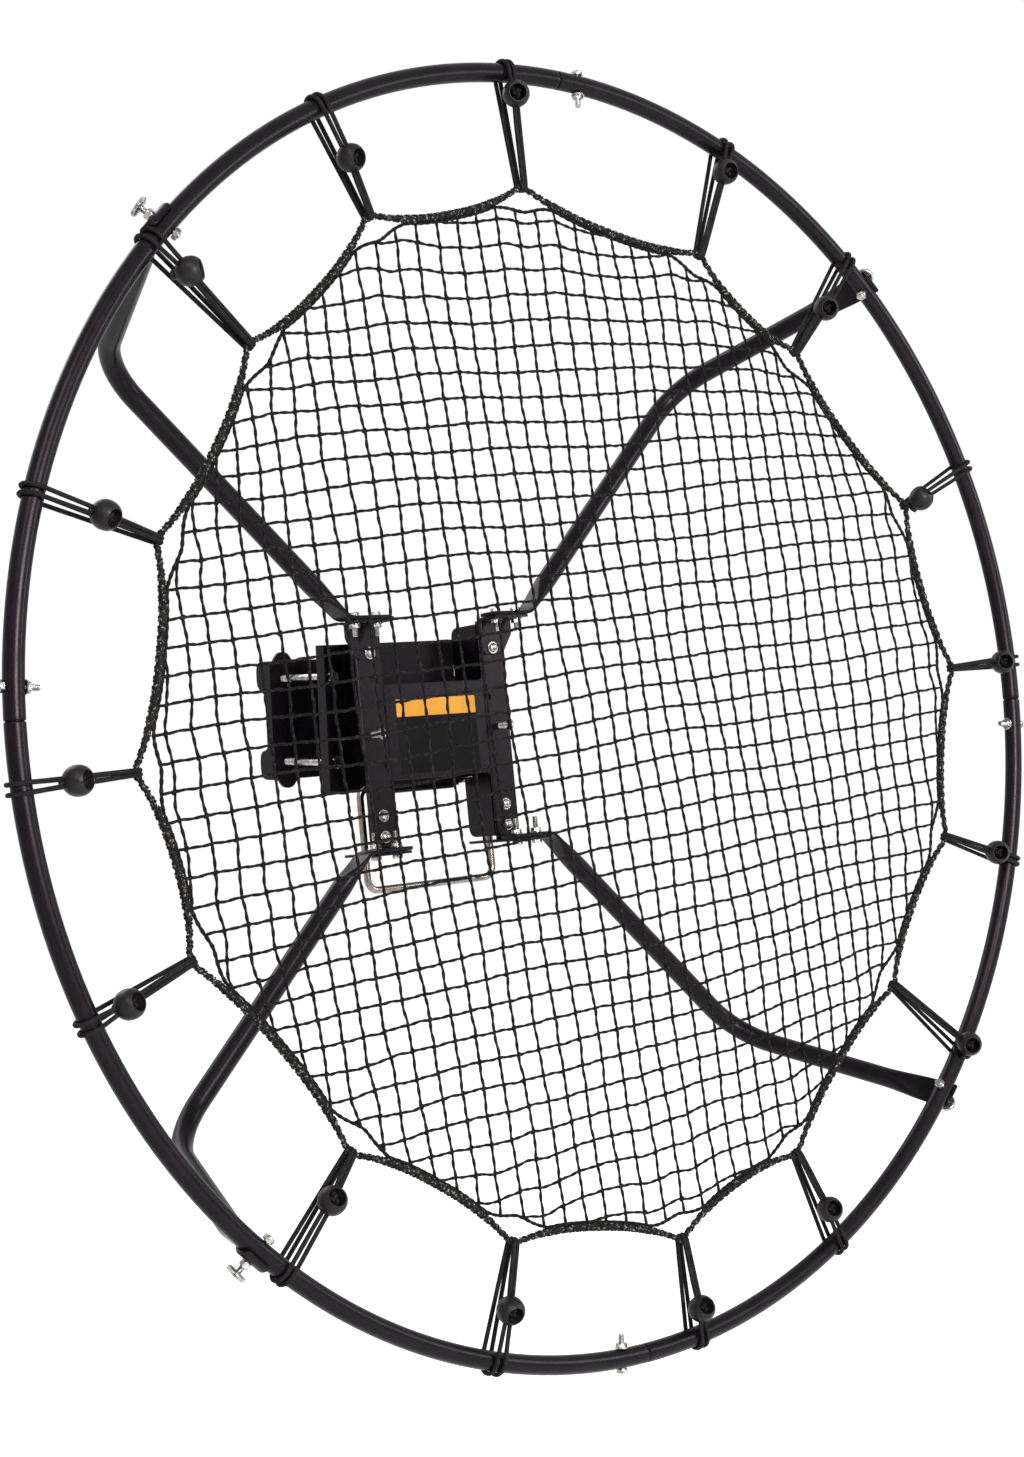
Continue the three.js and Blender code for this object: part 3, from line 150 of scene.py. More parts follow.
LABEL_HALF_WIDTH = 54
LABEL_THICKNESS = 0.35
LABEL_BAND = (17, 36)
LABEL_PANEL = (-45, 16.9)

# Arms
ARM_RADIUS = 11
ARM_FACE = 36.5
ARM_TIP = 69
ARM_BOLTS = (82.3, 110.3)
FLAT_HALF_WIDTH = 15.5
FLAT_THICKNESS = 4
FLAT_CORNER = 7
KNEE_RADIUS = 18
ARM_BEND_RADIUS = 75
LEG_LEAN = 22.8 * DEGREE
FLARE_LENGTH = 46
SADDLE_WRAP = 30 * DEGREE
SADDLE_FRONT_WRAP = 72 * DEGREE
SADDLE_CORNER = 6
SADDLE_EASE = 10
SADDLE_FLARE = 64
SMALL_BOLT = 3
SMALL_HEX = 10
SMALL_NUT = 5
SMALL_HEAD = 4.2
UPPER_BOLT_TAIL = 9
LOWER_BOLT_TAIL = 12.5

# Hoop and thumb screws
HOOP_RADIUS = 642
HOOP_REACH = 290
HOOP_TUBE = 9.5
HOOP_WALL = 1.2
HOOP_SEAM = 2 * DEGREE
HOOP_STEPS = 64
JOINT_BOLT_INSET = 29
JOINT_BOLT_TAIL = 8.5
NECK_LENGTH = 42
THUMB_HEAD_RADIUS = 10
THUMB_HEAD = 4.5
THUMB_NECK = 6
THUMB_COLLAR = 6
THUMB_TAIL = 0.8

# Net: a mesh that is drawn in a circle and then carried onto the edge's own line
NET_LIE = 4 * DEGREE
NET_PITCH = 25.4
MESH_RADIUS = 508
TWINE_CLEAR = 3
TWINE_RADIUS = 1.38
TWINE_PLY = 0.24
TWINE_LAY = 12
TWINE_STEP = 3.2
WEAVE_DEPTH = 0.5
KNOT_CLEAR = 2
KNOT_RADIUS = 2.1
KNOT_PROFILE = ((-1.25, 0.45), (-0.8, 0.85), (0, 1), (0.8, 0.85), (1.25, 0.45))

# The slack of the hung mesh each way: a long wave's height, lengths and phases, then a ripple's
SLACK_POWER = 6
SLACK_ACROSS = (3.2, 83, 97, 1.1, 0.4), (1.3, 31, -41, 2.0)
SLACK_UP = (3.4, 78, 91, 1.9, -0.7), (1.2, 37, 29, 0.5)
SLACK_DEEP = (4.5, 120, 110, 0.3, -0.8), (1.0, 23, 27, 0)

# Each wiggle of a single twine: its height, its length, and its shift from twine to twine
TWINE_WIGGLES = ((0.3, 5.1, 1.7), (0.25, 2.9, 0.6))

# The net's edge
SCALLOP_DEPTH = 15
SCALLOP_POWER = 2.6
ROPE_THIN = 2.4
ROPE_THICK = 3.5
LASHING_RADIUS = 0.9
LASHING_PITCH = 9
EDGE_CORD_RADIUS = 1.7
CORNER_CUT = 27
CORNER_SPLIT = 42

# Elastic cords
ELASTIC_RADIUS = 2.2
BALL_RADIUS = 13.6
BALL_FORWARD = 13
BALL_FACE = 0.8
BALL_FRONT_POWER = 2.4
BALL_MOUTH = 8.3
BALL_MOUTH_DEPTH = 13
BALL_BOSS = 4.6
BALL_BOSS_LENGTH = 3.2
CORD_ANGLES = [-4, 23, 41.5, 67, 88, 109, 130, 156, 175.5, 199, 222, 248.5, 267, 289.5, 313, 334.5]
CORNER_SHARES = [
    0.824, 0.807, 0.787, 0.83, 0.847, 0.83, 0.798, 0.829,
    0.847, 0.83, 0.813, 0.832, 0.833, 0.813, 0.805, 0.833,
]
BALL_SHARES = [
    0.962, 0.955, 0.883, 0.85, 0.961, 0.945, 0.983, 0.934,
    0.955, 0.924, 0.887, 0.948, 0.929, 0.903, 0.938, 0.916,
]

# Which way each ball's mouth faces, in degrees to the right of the net's front and upward
BALL_TURNS = [-27, -8, -24, 17, -28, -28, -30, -17, -9, -13, -3, 21, 28, 20, 45, 12]
BALL_RISES = [-7, -9, -9, 44, 0, 0, -5, 14, 25, -23, 24, 12, 0, -25, 6, -12]

# Stage, in metres
FLOOR_HALF = 6.0
FLOOR_HEIGHT = -1.05
FLOOR_LIFT = 0.5
WORLD_LIGHT = 0.32
KEY_DIRECTION = (2.6, 2.8, -3.2)
KEY_POWER = 1.2
KEY_SPREAD = 20 * DEGREE
WHITE = (1, 1, 1, 1)

# Each area light's name, place, target, size and power
AREA_LIGHTS = (
    ("front", (-0.5, -3.8, 0.85), (0, -0.3, 0), 1.2, 200),
    ("fill", (2.6, -2.6, 0.8), (0, -0.3, 0), 0.9, 36),
    ("back", (-0.5, 2.8, 2.4), (0, -0.2, 0), 2.0, 45),
)


def new_object(name, data):
    made = bpy.data.objects.new(name, data)
    scene.collection.objects.link(made)
    return made


def make_camera():
    """The photograph's viewing angle: a long lens from the left of the net's front."""
    turn, lean = 0.6789, 3.35 * DEGREE
    focal, long_side, middle_row = 57.092, 1457, 734.3
    place = (-1.5248, -2.0940, 0.0681)
    data = bpy.data.cameras.new("camera")
    data.lens = focal
    data.shift_y = (middle_row - long_side / 2) / long_side
    camera = new_object("camera", data)
    turned = Matrix.Rotation(-turn, 4, "Z") @ Matrix.Rotation(QUARTER, 4, "X")
    camera.matrix_world = Matrix.Translation(place) @ Matrix.Rotation(lean, 4, "Y") @ turned
    scene.camera = camera


def tilted(points):
    """Points of the upright frame, turned to its rest tilt about the pivot."""
    x, y, z = np.asarray(points, float).reshape(-1, 3).T
    c, s = cos(TILT), sin(TILT)
    return np.stack([x + PIVOT[0], PIVOT[1] + y * c + z * s, PIVOT[2] - y * s + z * c], axis=-1)


def unit(vector):
    return vector / np.linalg.norm(vector)


def full_turn(sides, start=0):
    """Even angles round a circle."""
    return TURN * (np.arange(sides) + start) / sides


def ring_of(at, across, along, reach, around):
    """A ring about a middle in the plane of two directions, with its reach at each angle."""
    return at + np.outer(reach * np.cos(around), across) + np.outer(reach * np.sin(around), along)


def carried(path, start, loop=False):
    """Two directions square to a path at each of its points, carried along without twist."""
    tangents = np.roll(path, -1, axis=0) - np.roll(path, 1, axis=0) if loop else np.gradient(path, axis=0)
    tangents /= np.linalg.norm(tangents, axis=1)[:, None]
    across = np.empty_like(tangents)
    last = np.asarray(start, float)
    for i, tangent in enumerate(tangents):
        last = unit(last - tangent * last.dot(tangent))
        across[i] = last
    return across, np.cross(tangents, across)


class Shape:
    """Closed forms gathered for one piece, with the line that its turned forms lie on."""

    def __init__(self, origin=(0, 0, 0), axis=Y):
        self.points = []
        self.faces = []
        self.count = 0
        self.about(origin, axis)

    def about(self, origin, axis):
        """Sets the line that turned forms lie on, with two directions square to it."""
        steep = 0.9
        self.origin = np.asarray(origin, float)
        self.axis = unit(np.asarray(axis, float))
        self.across = unit(np.cross(Z if abs(self.axis[2]) < steep else Y, self.axis))
        self.along = np.cross(self.axis, self.across)

    def add(self, points, faces):
        self.points.append(np.asarray(points, float).reshape(-1, 3))
        self.faces += [[corner + self.count for corner in face] for face in faces]
        self.count += len(self.points[-1])

    def loft(self, rings, loop=False):
        """A skin over a row of rings, closed by flat ends or into a loop."""
        rings = np.asarray(rings, float)
        rows, sides = rings.shape[:2]
        here = np.arange(rows * sides).reshape(rows, sides)
        there = np.roll(here, -1, axis=0)
        if not loop:
            here, there = here[:-1], there[:-1]
        quads = np.stack([here, np.roll(here, -1, axis=1), np.roll(there, -1, axis=1), there], axis=-1)
        faces = quads.reshape(-1, 4).tolist()
        if not loop:
            faces += [list(range(sides)), list(range((rows - 1) * sides, rows * sides))]
        self.add(rings, faces)

    def tube(self, path, radius, sides, start=Y, loop=False, ply=0.0, lay=0.0):
        """A round tube along a path, or one of two plies that turn by a lay at each step."""
        across, along = carried(path, start, loop)
        around = full_turn(sides)
        reach = np.broadcast_to(radius, len(path))[:, None] * np.ones(sides)
        reach = reach * (1 + ply * np.cos(2 * (around - lay * np.arange(len(path))[:, None])))
        wide = (reach * np.cos(around))[..., None] * across[:, None]
        deep = (reach * np.sin(around))[..., None] * along[:, None]
        self.loft(np.asarray(path)[:, None] + wide + deep, loop)

    def ring(self, distance, reach, around):
        """A ring round the line, at a distance along it, with its reach at each angle."""
        return ring_of(self.origin + self.axis * distance, self.across, self.along, reach, around)

    def turned(self, profile, sides=28, limit=None):
        """A turned form: each step of the profile is a distance along the line and a radius."""
        around = full_turn(sides)
        rings = []
        for distance, radius in profile:
            reach = radius * np.ones(sides) if limit is None else np.minimum(radius, limit(around))
            rings.append(self.ring(distance, reach, around))
        self.loft(rings)

    def hexagon(self, start, end, across_flats, chamfer=HEX_CHAMFER):
        """A nut or a bolt's head: a hexagon with its corners turned down at both faces."""
        flat, sixth = across_flats / 2, pi / 3
        face, corner = flat * HEX_FACE_SHARE, flat / cos(sixth / 2)
        low, high = sorted((start, end))

        def hexagonal(around):
            return flat / np.cos((around + sixth / 2) % sixth - sixth / 2)

        profile = [(low, face), (low + chamfer, corner), (high - chamfer, corner), (high, face)]
        self.turned(profile, sides=36, limit=hexagonal)

    def thread(self, start, end, radius):
        """A screw thread with its ends turned down."""
        rows_per_turn, lead, lead_share, end_share = 6, 1.0, 0.35, 0.82
        depth = 0.075 * radius + 0.25
        low, high = sorted((start, end))
        rows = max(2, int((high - low) / THREAD_PITCH * rows_per_turn))
        around = full_turn(20)
        rings = []
        for distance in np.linspace(low, high, rows + 1):
            phase = (distance / THREAD_PITCH - around / TURN) % 1
            ease = min(1, min(distance - low, high - distance) / lead + lead_share)
            reach = (radius - depth * np.abs(2 * phase - 1)) * (end_share + (1 - end_share) * ease)
            rings.append(self.ring(distance, reach, around))
        self.loft(rings)

    def washer(self, start, end, radius):
        face, edge = radius * 0.94, (end - start) * 0.3
        self.turned([(start, face), (start + edge, radius), (end - edge, radius), (end, face)])

    def shank(self, start, end, radius):
        self.turned([(start, radius), (end, radius)])

    def dome(self, base, top, radius):
        """A round head that rises from its base to its top."""
        steps, flat_end, rim, fullness = 7, 6.3, 0.18, 0.8
        profile = [(base, radius * HEX_FACE_SHARE)]
        for angle in QUARTER * np.arange(steps) / flat_end:
            height = rim + (1 - rim) * sin(angle)
            profile.append((base + (top - base) * height, radius * cos(angle) ** fullness))
        self.turned(profile)


Finish = namedtuple("Finish", "material slot")


def piece(name, shape, finish, replaces=(), body="net_frame", place=tilted, sharp=35):
    """A closed mesh object from a shape, riding on a body of the model."""
    points = place(np.concatenate(shape.points))
    mesh = bpy.data.meshes.new(name)
    mesh.from_pydata((points * MILLIMETRE).tolist(), [], shape.faces)
    work = bmesh.new()
    work.from_mesh(mesh)
    bmesh.ops.recalc_face_normals(work, faces=work.faces)
    work.to_mesh(mesh)
    work.free()
    mesh.shade_smooth()
    mesh.set_sharp_from_angle(angle=sharp * DEGREE)
    mesh.materials.append(finish.material)
    made = new_object(name, mesh)
    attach(made, body)
    if replaces:
        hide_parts(*replaces)


def as_drawn(points):
    """For pieces that are drawn in the model's own place."""
    return points


def arc(centre, radius, start, end, steps):
    """Points of an arc in a plane, both ends included."""
    return [
        (centre[0] + radius * cos(a), centre[1] + radius * sin(a))
        for a in np.linspace(start, end, steps + 1)
    ]


def rounded(points, steps=6):
    """An outline with rounded corners: each point is (x, y) or (x, y, corner radius)."""
    outline = []
    for i, (x, y, *rest) in enumerate(points):
        here = np.array([x, y], float)
        if not rest:
            outline.append(tuple(here))
            continue
        last = np.array(points[i - 1][:2], float)
        following = np.array(points[(i + 1) % len(points)][:2], float)
        enter = here + unit(last - here) * rest[0]
        leave = here + unit(following - here) * rest[0]
        for share in np.linspace(0, 1, steps + 1):
            curve = (1 - share) ** 2 * enter + 2 * share * (1 - share) * here + share ** 2 * leave
            outline.append(tuple(curve))
    return outline


def circle(x, y, radius, steps=24):
    return [(x + radius * cos(a), y + radius * sin(a)) for a in full_turn(steps)]


# Where X, Y and Z come from in a plate that is drawn flat and has its thickness as the third value
FACING, SIDEWAYS, LEVEL = (0, 2, 1), (2, 0, 1), (0, 1, 2)


def plate(shape, outline, holes, low, high, way, edge=PLATE_EDGE):
    """A flat plate with holes and rounded edges, from one height to another."""
    curve = bpy.data.curves.new("outline", "CURVE")
    curve.dimensions = "2D"
    curve.fill_mode = "BOTH"
    curve.extrude = (high - low) / 2 - edge
    curve.bevel_depth = edge
    curve.bevel_resolution = 1
    curve.offset = -edge
    for loop in [outline, *holes]:
        spline = curve.splines.new("POLY")
        spline.points.add(len(loop) - 1)
        spline.points.foreach_set("co", [value for x, y in loop for value in (x, y, 0, 1)])
        spline.use_cyclic_u = True
    holder = bpy.data.objects.new("outline", curve)
    mesh = bpy.data.meshes.new_from_object(holder)
    work = bmesh.new()
    work.from_mesh(mesh)
    bmesh.ops.remove_doubles(work, verts=work.verts, dist=WELD)
    points = np.array([vertex.co for vertex in work.verts]) + (0, 0, (low + high) / 2)
    faces = [[vertex.index for vertex in face.verts] for face in work.faces]
    work.free()
    bpy.data.objects.remove(holder)
    bpy.data.curves.remove(curve)
    bpy.data.meshes.remove(mesh)
    shape.add(points[:, way], faces)


def radial(angle):
    return np.array([sin(angle), 0, cos(angle)])


def along_hoop(angle):
    return np.array([cos(angle), 0, -sin(angle)])


# Materials

def fill(tree, node, inputs):
    """Gives a node its inputs: each is a value or another node's output."""
    for socket, value in inputs.items():
        if isinstance(value, bpy.types.NodeSocket):
            tree.links.new(value, node.inputs[socket])
        else:
            node.inputs[socket].default_value = value


def add_node(tree, kind, inputs):
    node = tree.nodes.new(f"ShaderNode{kind}")
    fill(tree, node, inputs)
    return node


def noise(tree, scale, detail=3.0):
    """A noise that is fixed to the object, with its scale in features per metre."""
    place = add_node(tree, "TexCoord", {}).outputs["Object"]
    inputs = {"Vector": place, "Scale": scale, "Detail": detail, "Roughness": 0.55}
    return add_node(tree, "TexNoise", inputs).outputs["Fac"]


def ramp(tree, source, stops):
    """A colour ramp of two stops, each a place and a colour."""
    node = add_node(tree, "ValToRGB", {"Fac": source})
    for element, (position, colour) in zip(node.color_ramp.elements, stops):
        element.position = position
        element.color = (*colour, 1)
    return node.outputs["Color"]


def between(tree, source, low, high):
    """Stretches a noise's middle values over a range."""
    inputs = {"Value": source, "From Min": 0.3, "From Max": 0.7, "To Min": low, "To Max": high}
    return add_node(tree, "MapRange", inputs).outputs["Result"]


def material_of(name, inputs_of):
    """A material whose shader gets the inputs that inputs_of makes in its node tree."""
    material = bpy.data.materials.new(name)
    material.use_nodes = True
    tree = material.node_tree
    fill(tree, tree.nodes["Principled BSDF"], inputs_of(tree))
    return material


def surface(name, slot, dark, light, rough, patch, grain, relief, strength, shine=0.5, metal=0.0,
            span=(0.32, 0.68), tint=(1, 1, 1)):
    """Colour and roughness that vary in patches, and a fine grain that gives relief."""
    rough_patch = patch * 2.3

    def inputs_of(tree):
        relief_inputs = {"Height": noise(tree, grain, 2.0), "Distance": relief, "Strength": strength}
        return {
            "Base Color": ramp(tree, noise(tree, patch), zip(span, (dark, light))),
            "Roughness": between(tree, noise(tree, rough_patch), *rough),
            "Normal": add_node(tree, "Bump", relief_inputs).outputs["Normal"],
            "Metallic": metal, "Specular IOR Level": shine, "Specular Tint": (*tint, 1),
        }

    return Finish(material_of(name, inputs_of), slot)


FIBRE = {"grain": 1500, "relief": 0.0005, "strength": 0.6}
LABEL = {"patch": 40, "grain": 800, "relief": 0.00003, "strength": 0.2}
POWDER = surface(
    "powder_coat", "powder_coat", dark=(0.0022, 0.0018, 0.0025), light=(0.0042, 0.0034, 0.0048),
    rough=(0.26, 0.33), patch=35, grain=900, relief=0.0001, strength=0.12, shine=0.11, tint=(1.0, 0.87, 0.94),
)
ZINC = surface(
    "zinc", "zinc", dark=(0.15, 0.147, 0.14), light=(0.48, 0.468, 0.445),
    rough=(0.2, 0.34), patch=180, grain=1400, relief=0.00006, strength=0.3, metal=1.0,
)
NICKEL = surface(
    "nickel", "nickel", dark=(0.16, 0.137, 0.12), light=(0.31, 0.275, 0.245),
    rough=(0.12, 0.2), patch=60, grain=700, relief=0.00004, strength=0.07, metal=1.0,
)
# The lighter specks in the twine's colour are painted glints on its nylon fibres; the darker colour is the
# twine's own.
TWINE = surface(
    "twine", "net_twine", dark=(0.0018, 0.0016, 0.0016), light=(0.019, 0.0168, 0.0158),
    rough=(0.5, 0.8), patch=330, shine=0.07, span=(0.5, 0.72), **FIBRE,
)
# The bright specks in the rope's colour are painted glints on its braid; the darker colour is the rope's own.
ROPE = surface(
    "border_rope", "net_twine", dark=(0.0028, 0.0025, 0.0024), light=(0.30, 0.27, 0.25),
    rough=(0.5, 0.8), patch=380, shine=0.12, span=(0.58, 0.74), **FIBRE,
)
ELASTIC = surface(
    "elastic", "elastic", dark=(0.0026, 0.0023, 0.0024), light=(0.0091, 0.0078, 0.0081),
    rough=(0.55, 0.8), patch=120, grain=1700, relief=0.0005, strength=0.6, shine=0.1,
)
PLASTIC = surface(
    "ball_plastic", "elastic", dark=(0.0053, 0.0044, 0.0044), light=(0.0088, 0.0074, 0.0074),
    rough=(0.34, 0.46), patch=70, grain=1200, relief=0.00015, strength=0.3, shine=0.16,
)
AMBER = surface(
    "label_amber", "powder_coat", dark=(0.44, 0.185, 0.007), light=(0.49, 0.215, 0.011),
    rough=(0.35, 0.45), shine=0.3, **LABEL,
)
PANEL = surface(
    "label_black", "powder_coat", dark=(0.0026, 0.0025, 0.0027), light=(0.0039, 0.0037, 0.0040),
    rough=(0.4, 0.5), shine=0.05, **LABEL,
)


# The net's edge: a rope in scallops from corner to corner, and a thin cord inside it

def cord_angle(i):
    return CORD_ANGLES[i % len(CORD_ANGLES)] * DEGREE + TURN * (i // len(CORD_ANGLES))


def corner_radius(i):
    return HOOP_RADIUS * CORNER_SHARES[i % len(CORNER_SHARES)]


def edge_span(angle):
    """The number of the corner before an angle, the angle past the first corner, and its share
    of the way to the next corner."""
    start = cord_angle(0)
    angle = start + (angle - start) % TURN
    i = max(j for j in range(len(CORD_ANGLES)) if cord_angle(j) <= angle + 1e-9)
    return i, angle, (angle - cord_angle(i)) / (cord_angle(i + 1) - cord_angle(i))


def rope_radius_at(angle):
    """How far the rope runs from the middle at an angle."""
    i, angle, share = edge_span(angle)
    near, far = corner_radius(i), corner_radius(i + 1)
    start, end = cord_angle(i), cord_angle(i + 1)
    spread = near * sin(angle - start) + far * sin(end - angle)
    line = near * far * sin(end - start) / spread
    return line - SCALLOP_DEPTH * (1 - abs(2 * share - 1) ** SCALLOP_POWER)


def corner_distance(angle):
    """The distance along the edge to the nearest corner."""
    i, _, share = edge_span(angle)
    span = (cord_angle(i + 1) - cord_angle(i)) * (corner_radius(i) + corner_radius(i + 1)) / 2
    return max(0, min(share, 1 - share)) * span


def edge_cord_radius_at(angle):
    """The thin cord leaves the rope near a corner and cuts across it."""
    seat, power = 0.6, 1.7
    beside = rope_radius_at(angle) - ROPE_THICK - EDGE_CORD_RADIUS * seat
    distance = corner_distance(angle)
    if distance > CORNER_SPLIT:
        return beside
    i, _, share = edge_span(angle)
    cut = corner_radius(i if share < 0.5 else i + 1) - CORNER_CUT
    blend = (distance / CORNER_SPLIT) ** power
    return min(beside, cut * (1 - blend) + beside * blend)


def rope_thickness_at(angle):
    """Thin at a corner, thick where the thin cord is lashed to the rope."""
    start, run = 0.55 * CORNER_SPLIT, 0.5 * CORNER_SPLIT
    share = min(1, max(0, (corner_distance(angle) - start) / run))
    return ROPE_THIN + (ROPE_THICK - ROPE_THIN) * share


def edge_path(radius_at, steps):
    angles = np.linspace(0, TURN, steps, endpoint=False)
    return angles, at_hoop_plane(np.array([radial(a) * radius_at(a) for a in angles]))


def border_rope(shape):
    steps, twists = 1200, 140
    angles, path = edge_path(rope_radius_at, steps)
    thickness = np.array([rope_thickness_at(a) for a in angles])
    shape.tube(path, thickness, 10, loop=True, ply=0.1, lay=TURN * twists / steps)
    for hand in (1, -1):
        lashing(shape, hand)


def lashing(shape, hand):
    """Twine wound round the rope, one way or the other."""
    turns = round(TURN * MESH_RADIUS / LASHING_PITCH)
    steps_per_turn, rise = 9, 0.35 * LASHING_RADIUS
    angles, path = edge_path(rope_radius_at, turns * steps_per_turn)
    thickness = np.array([rope_thickness_at(a) for a in angles]) + rise
    across, along = carried(path, Y, loop=True)
    wind = hand * TURN * turns * np.arange(len(path)) / len(path)
    wide = (thickness * np.cos(wind))[:, None] * across
    deep = (thickness * np.sin(wind))[:, None] * along
    shape.tube(path + wide + deep, LASHING_RADIUS, 5, loop=True)


def edge_cord(shape):
    steps, twists = 1400, 200
    _, path = edge_path(edge_cord_radius_at, steps)
    shape.tube(path, EDGE_CORD_RADIUS, 6, loop=True, ply=0.2, lay=TURN * twists / steps)


# The net's mesh

def wave(first, second, height, length, other_length, phase, other_phase):
    """A long wave over two directions."""
    return height * np.sin(first / length + phase) * np.cos(second / other_length + other_phase)


def ripple(x, z, height, length, other_length, phase):
    """A short wave at a slant."""
    return height * np.sin(x / length + z / other_length + phase)


def net_waves(points):
    """The slack of a hung net: long waves and ripples, in its plane and square to it."""
    x, y, z = points.T
    sway = wave(x, z, *SLACK_ACROSS[0]) + ripple(x, z, *SLACK_ACROSS[1])
    rise = wave(z, x, *SLACK_UP[0]) + ripple(x, z, *SLACK_UP[1])
    depth = wave(x, z, *SLACK_DEEP[0]) + ripple(x, z, *SLACK_DEEP[1])
    ease = np.clip(1 - (np.hypot(x, z) / MESH_RADIUS) ** SLACK_POWER, 0, 1)
    return np.stack([x + sway * ease, y + depth * ease, z + rise * ease], axis=-1)


def onto_edge(points):
    """Carries the circle that the mesh is drawn in onto the line of the edge cord."""
    x, _, z = points.T
    steps, pull = 1440, 5
    table_angles = np.linspace(-pi, pi, steps + 1)
    table = [edge_cord_radius_at(a) for a in table_angles]
    edge = np.interp(np.arctan2(x, z), table_angles, table)
    growth = 1 + (edge / MESH_RADIUS - 1) * (np.hypot(x, z) / MESH_RADIUS) ** pull
    return np.stack([x * growth, np.zeros_like(x), z * growth], axis=-1)


def hung(x, z):
    """Points of the flat mesh, turned to the way it lies in the hoop and carried to their places."""
    c, s = cos(NET_LIE), sin(NET_LIE)
    return net_waves(onto_edge(np.stack([x * c - z * s, np.zeros_like(x), x * s + z * c], axis=-1)))


def at_hoop_plane(points):
    return points - Y * HOOP_REACH


def twine_line(offset, vertical):
    """The middle line of one twine, from edge to edge."""
    half = sqrt(MESH_RADIUS ** 2 - offset ** 2)
    run = np.linspace(-half, half, int(2 * half / TWINE_STEP) + 1)
    fixed = np.full_like(run, offset)
    line = hung(fixed, run) if vertical else hung(run, fixed)
    wiggle = sum(height * np.sin(run / length + offset * shift) for height, length, shift in TWINE_WIGGLES)
    weave = WEAVE_DEPTH * np.cos(pi * (run / NET_PITCH + offset / NET_PITCH + vertical))
    square = np.cross(np.gradient(line, axis=0), Y)
    square /= np.linalg.norm(square, axis=1)[:, None]
    return line + square * wiggle[:, None] + Y * weave[:, None]


def net_offsets():
    """How far each twine lies from the net's middle."""
    count = int(MESH_RADIUS // NET_PITCH) + 1
    offsets = (np.arange(-count, count) + 0.5) * NET_PITCH
    return offsets[np.abs(offsets) < MESH_RADIUS - TWINE_CLEAR]


def net_mesh(shape):
    for vertical in (0, 1):
        for offset in net_offsets():
            line = at_hoop_plane(twine_line(offset, vertical))
            shape.tube(line, TWINE_RADIUS, 6, ply=TWINE_PLY, lay=pi * TWINE_STEP / TWINE_LAY)


def knot_points():
    """Where the twines cross."""
    x, z = (grid.ravel() for grid in np.meshgrid(net_offsets(), net_offsets()))
    inside = np.hypot(x, z) < MESH_RADIUS - KNOT_CLEAR
    return at_hoop_plane(hung(x[inside], z[inside]))


def varied(number, step):
    """A value from -1 to 1 that changes from one number to the next."""
    return sin(number * step)


def net_knots(shape):
    """A small hitch at each crossing: a short lump that lies over the crossing at a slant."""
    for n, at in enumerate(knot_points()):
        slant = NET_LIE + pi / 4 + 0.3 * varied(n, 2.4)
        lean = 0.25 * varied(n, 1.3)
        size = KNOT_RADIUS * (1 + 0.14 * varied(n, 3.7))
        shape.about(at, (cos(slant), lean, sin(slant)))
        shape.turned([(distance * size, radius * size) for distance, radius in KNOT_PROFILE], sides=8)


def make_net():
    mesh = Shape()
    net_mesh(mesh)
    net_knots(mesh)
    edge_cord(mesh)
    piece("net_of_twine", mesh, TWINE, ["net"], sharp=60)
    rope = Shape()
    border_rope(rope)
    piece("border_rope", rope, ROPE, sharp=60)


# Elastic cords

def smooth(points, step=3.0):
    """A path through points, rounded off and cut into even steps."""
    points = np.asarray(points, float)
    for _ in range(2):
        quarter = points[:-1] * 0.75 + points[1:] * 0.25
        three = points[:-1] * 0.25 + points[1:] * 0.75
        inner = np.stack([quarter, three], axis=1).reshape(-1, 3)
        points = np.concatenate([points[:1], inner, points[-1:]])
    lengths = np.concatenate([[0], np.cumsum(np.linalg.norm(np.diff(points, axis=0), axis=1))])
    marks = np.linspace(0, lengths[-1], int(lengths[-1] / step))
    return np.stack([np.interp(marks, lengths, part) for part in points.T], axis=-1)


def strand_path(side, corner, ball, depth, spread):
    """One strand, in parts outward, along the hoop and back: from the ball down the front to the
    net's corner, round the rope, up behind the hoop, over it and back down to the ball."""
    around_rope = ROPE_THIN + LASHING_RADIUS + ELASTIC_RADIUS
    around_hoop = HOOP_TUBE + GAP + ELASTIC_RADIUS
    near, wide = side * (ELASTIC_RADIUS + 0.2), side * spread
    path = [(ball, side * 1.5, -depth), (ball - BALL_RADIUS - 2, near, -depth * 0.75)]
    for angle in np.linspace(-81, 81, 7) * DEGREE:
        path.append((corner - around_rope * cos(angle), near * 0.8, around_rope * sin(angle)))
    for angle in np.linspace(70, 280, 12) * DEGREE:
        path.append((HOOP_RADIUS - around_hoop * cos(angle), wide, around_hoop * sin(angle)))
    path += [(ball + BALL_RADIUS * 0.9, near * 1.2, -depth * 0.9), (ball, side * 2.5, -depth)]
    return path


def hoop_place(angle):
    """Turns parts outward, along the hoop and back into the upright frame's points."""
    basis = np.stack([radial(angle), along_hoop(angle), Y])
    return lambda points: at_hoop_plane(np.asarray(points, float) @ basis)


def ball_depth(ball):
    """How far a ball's middle lies in front of the hoop's, clear of its tube."""
    clear = HOOP_TUBE + GAP + BALL_RADIUS
    inward = HOOP_RADIUS - ball
    return max(BALL_FORWARD, sqrt(max(0, clear * clear - inward * inward)))


def ball_axis(i):
    turn, rise = BALL_TURNS[i] * DEGREE, BALL_RISES[i] * DEGREE
    return np.array([sin(turn) * cos(rise), -cos(turn) * cos(rise), sin(rise)])


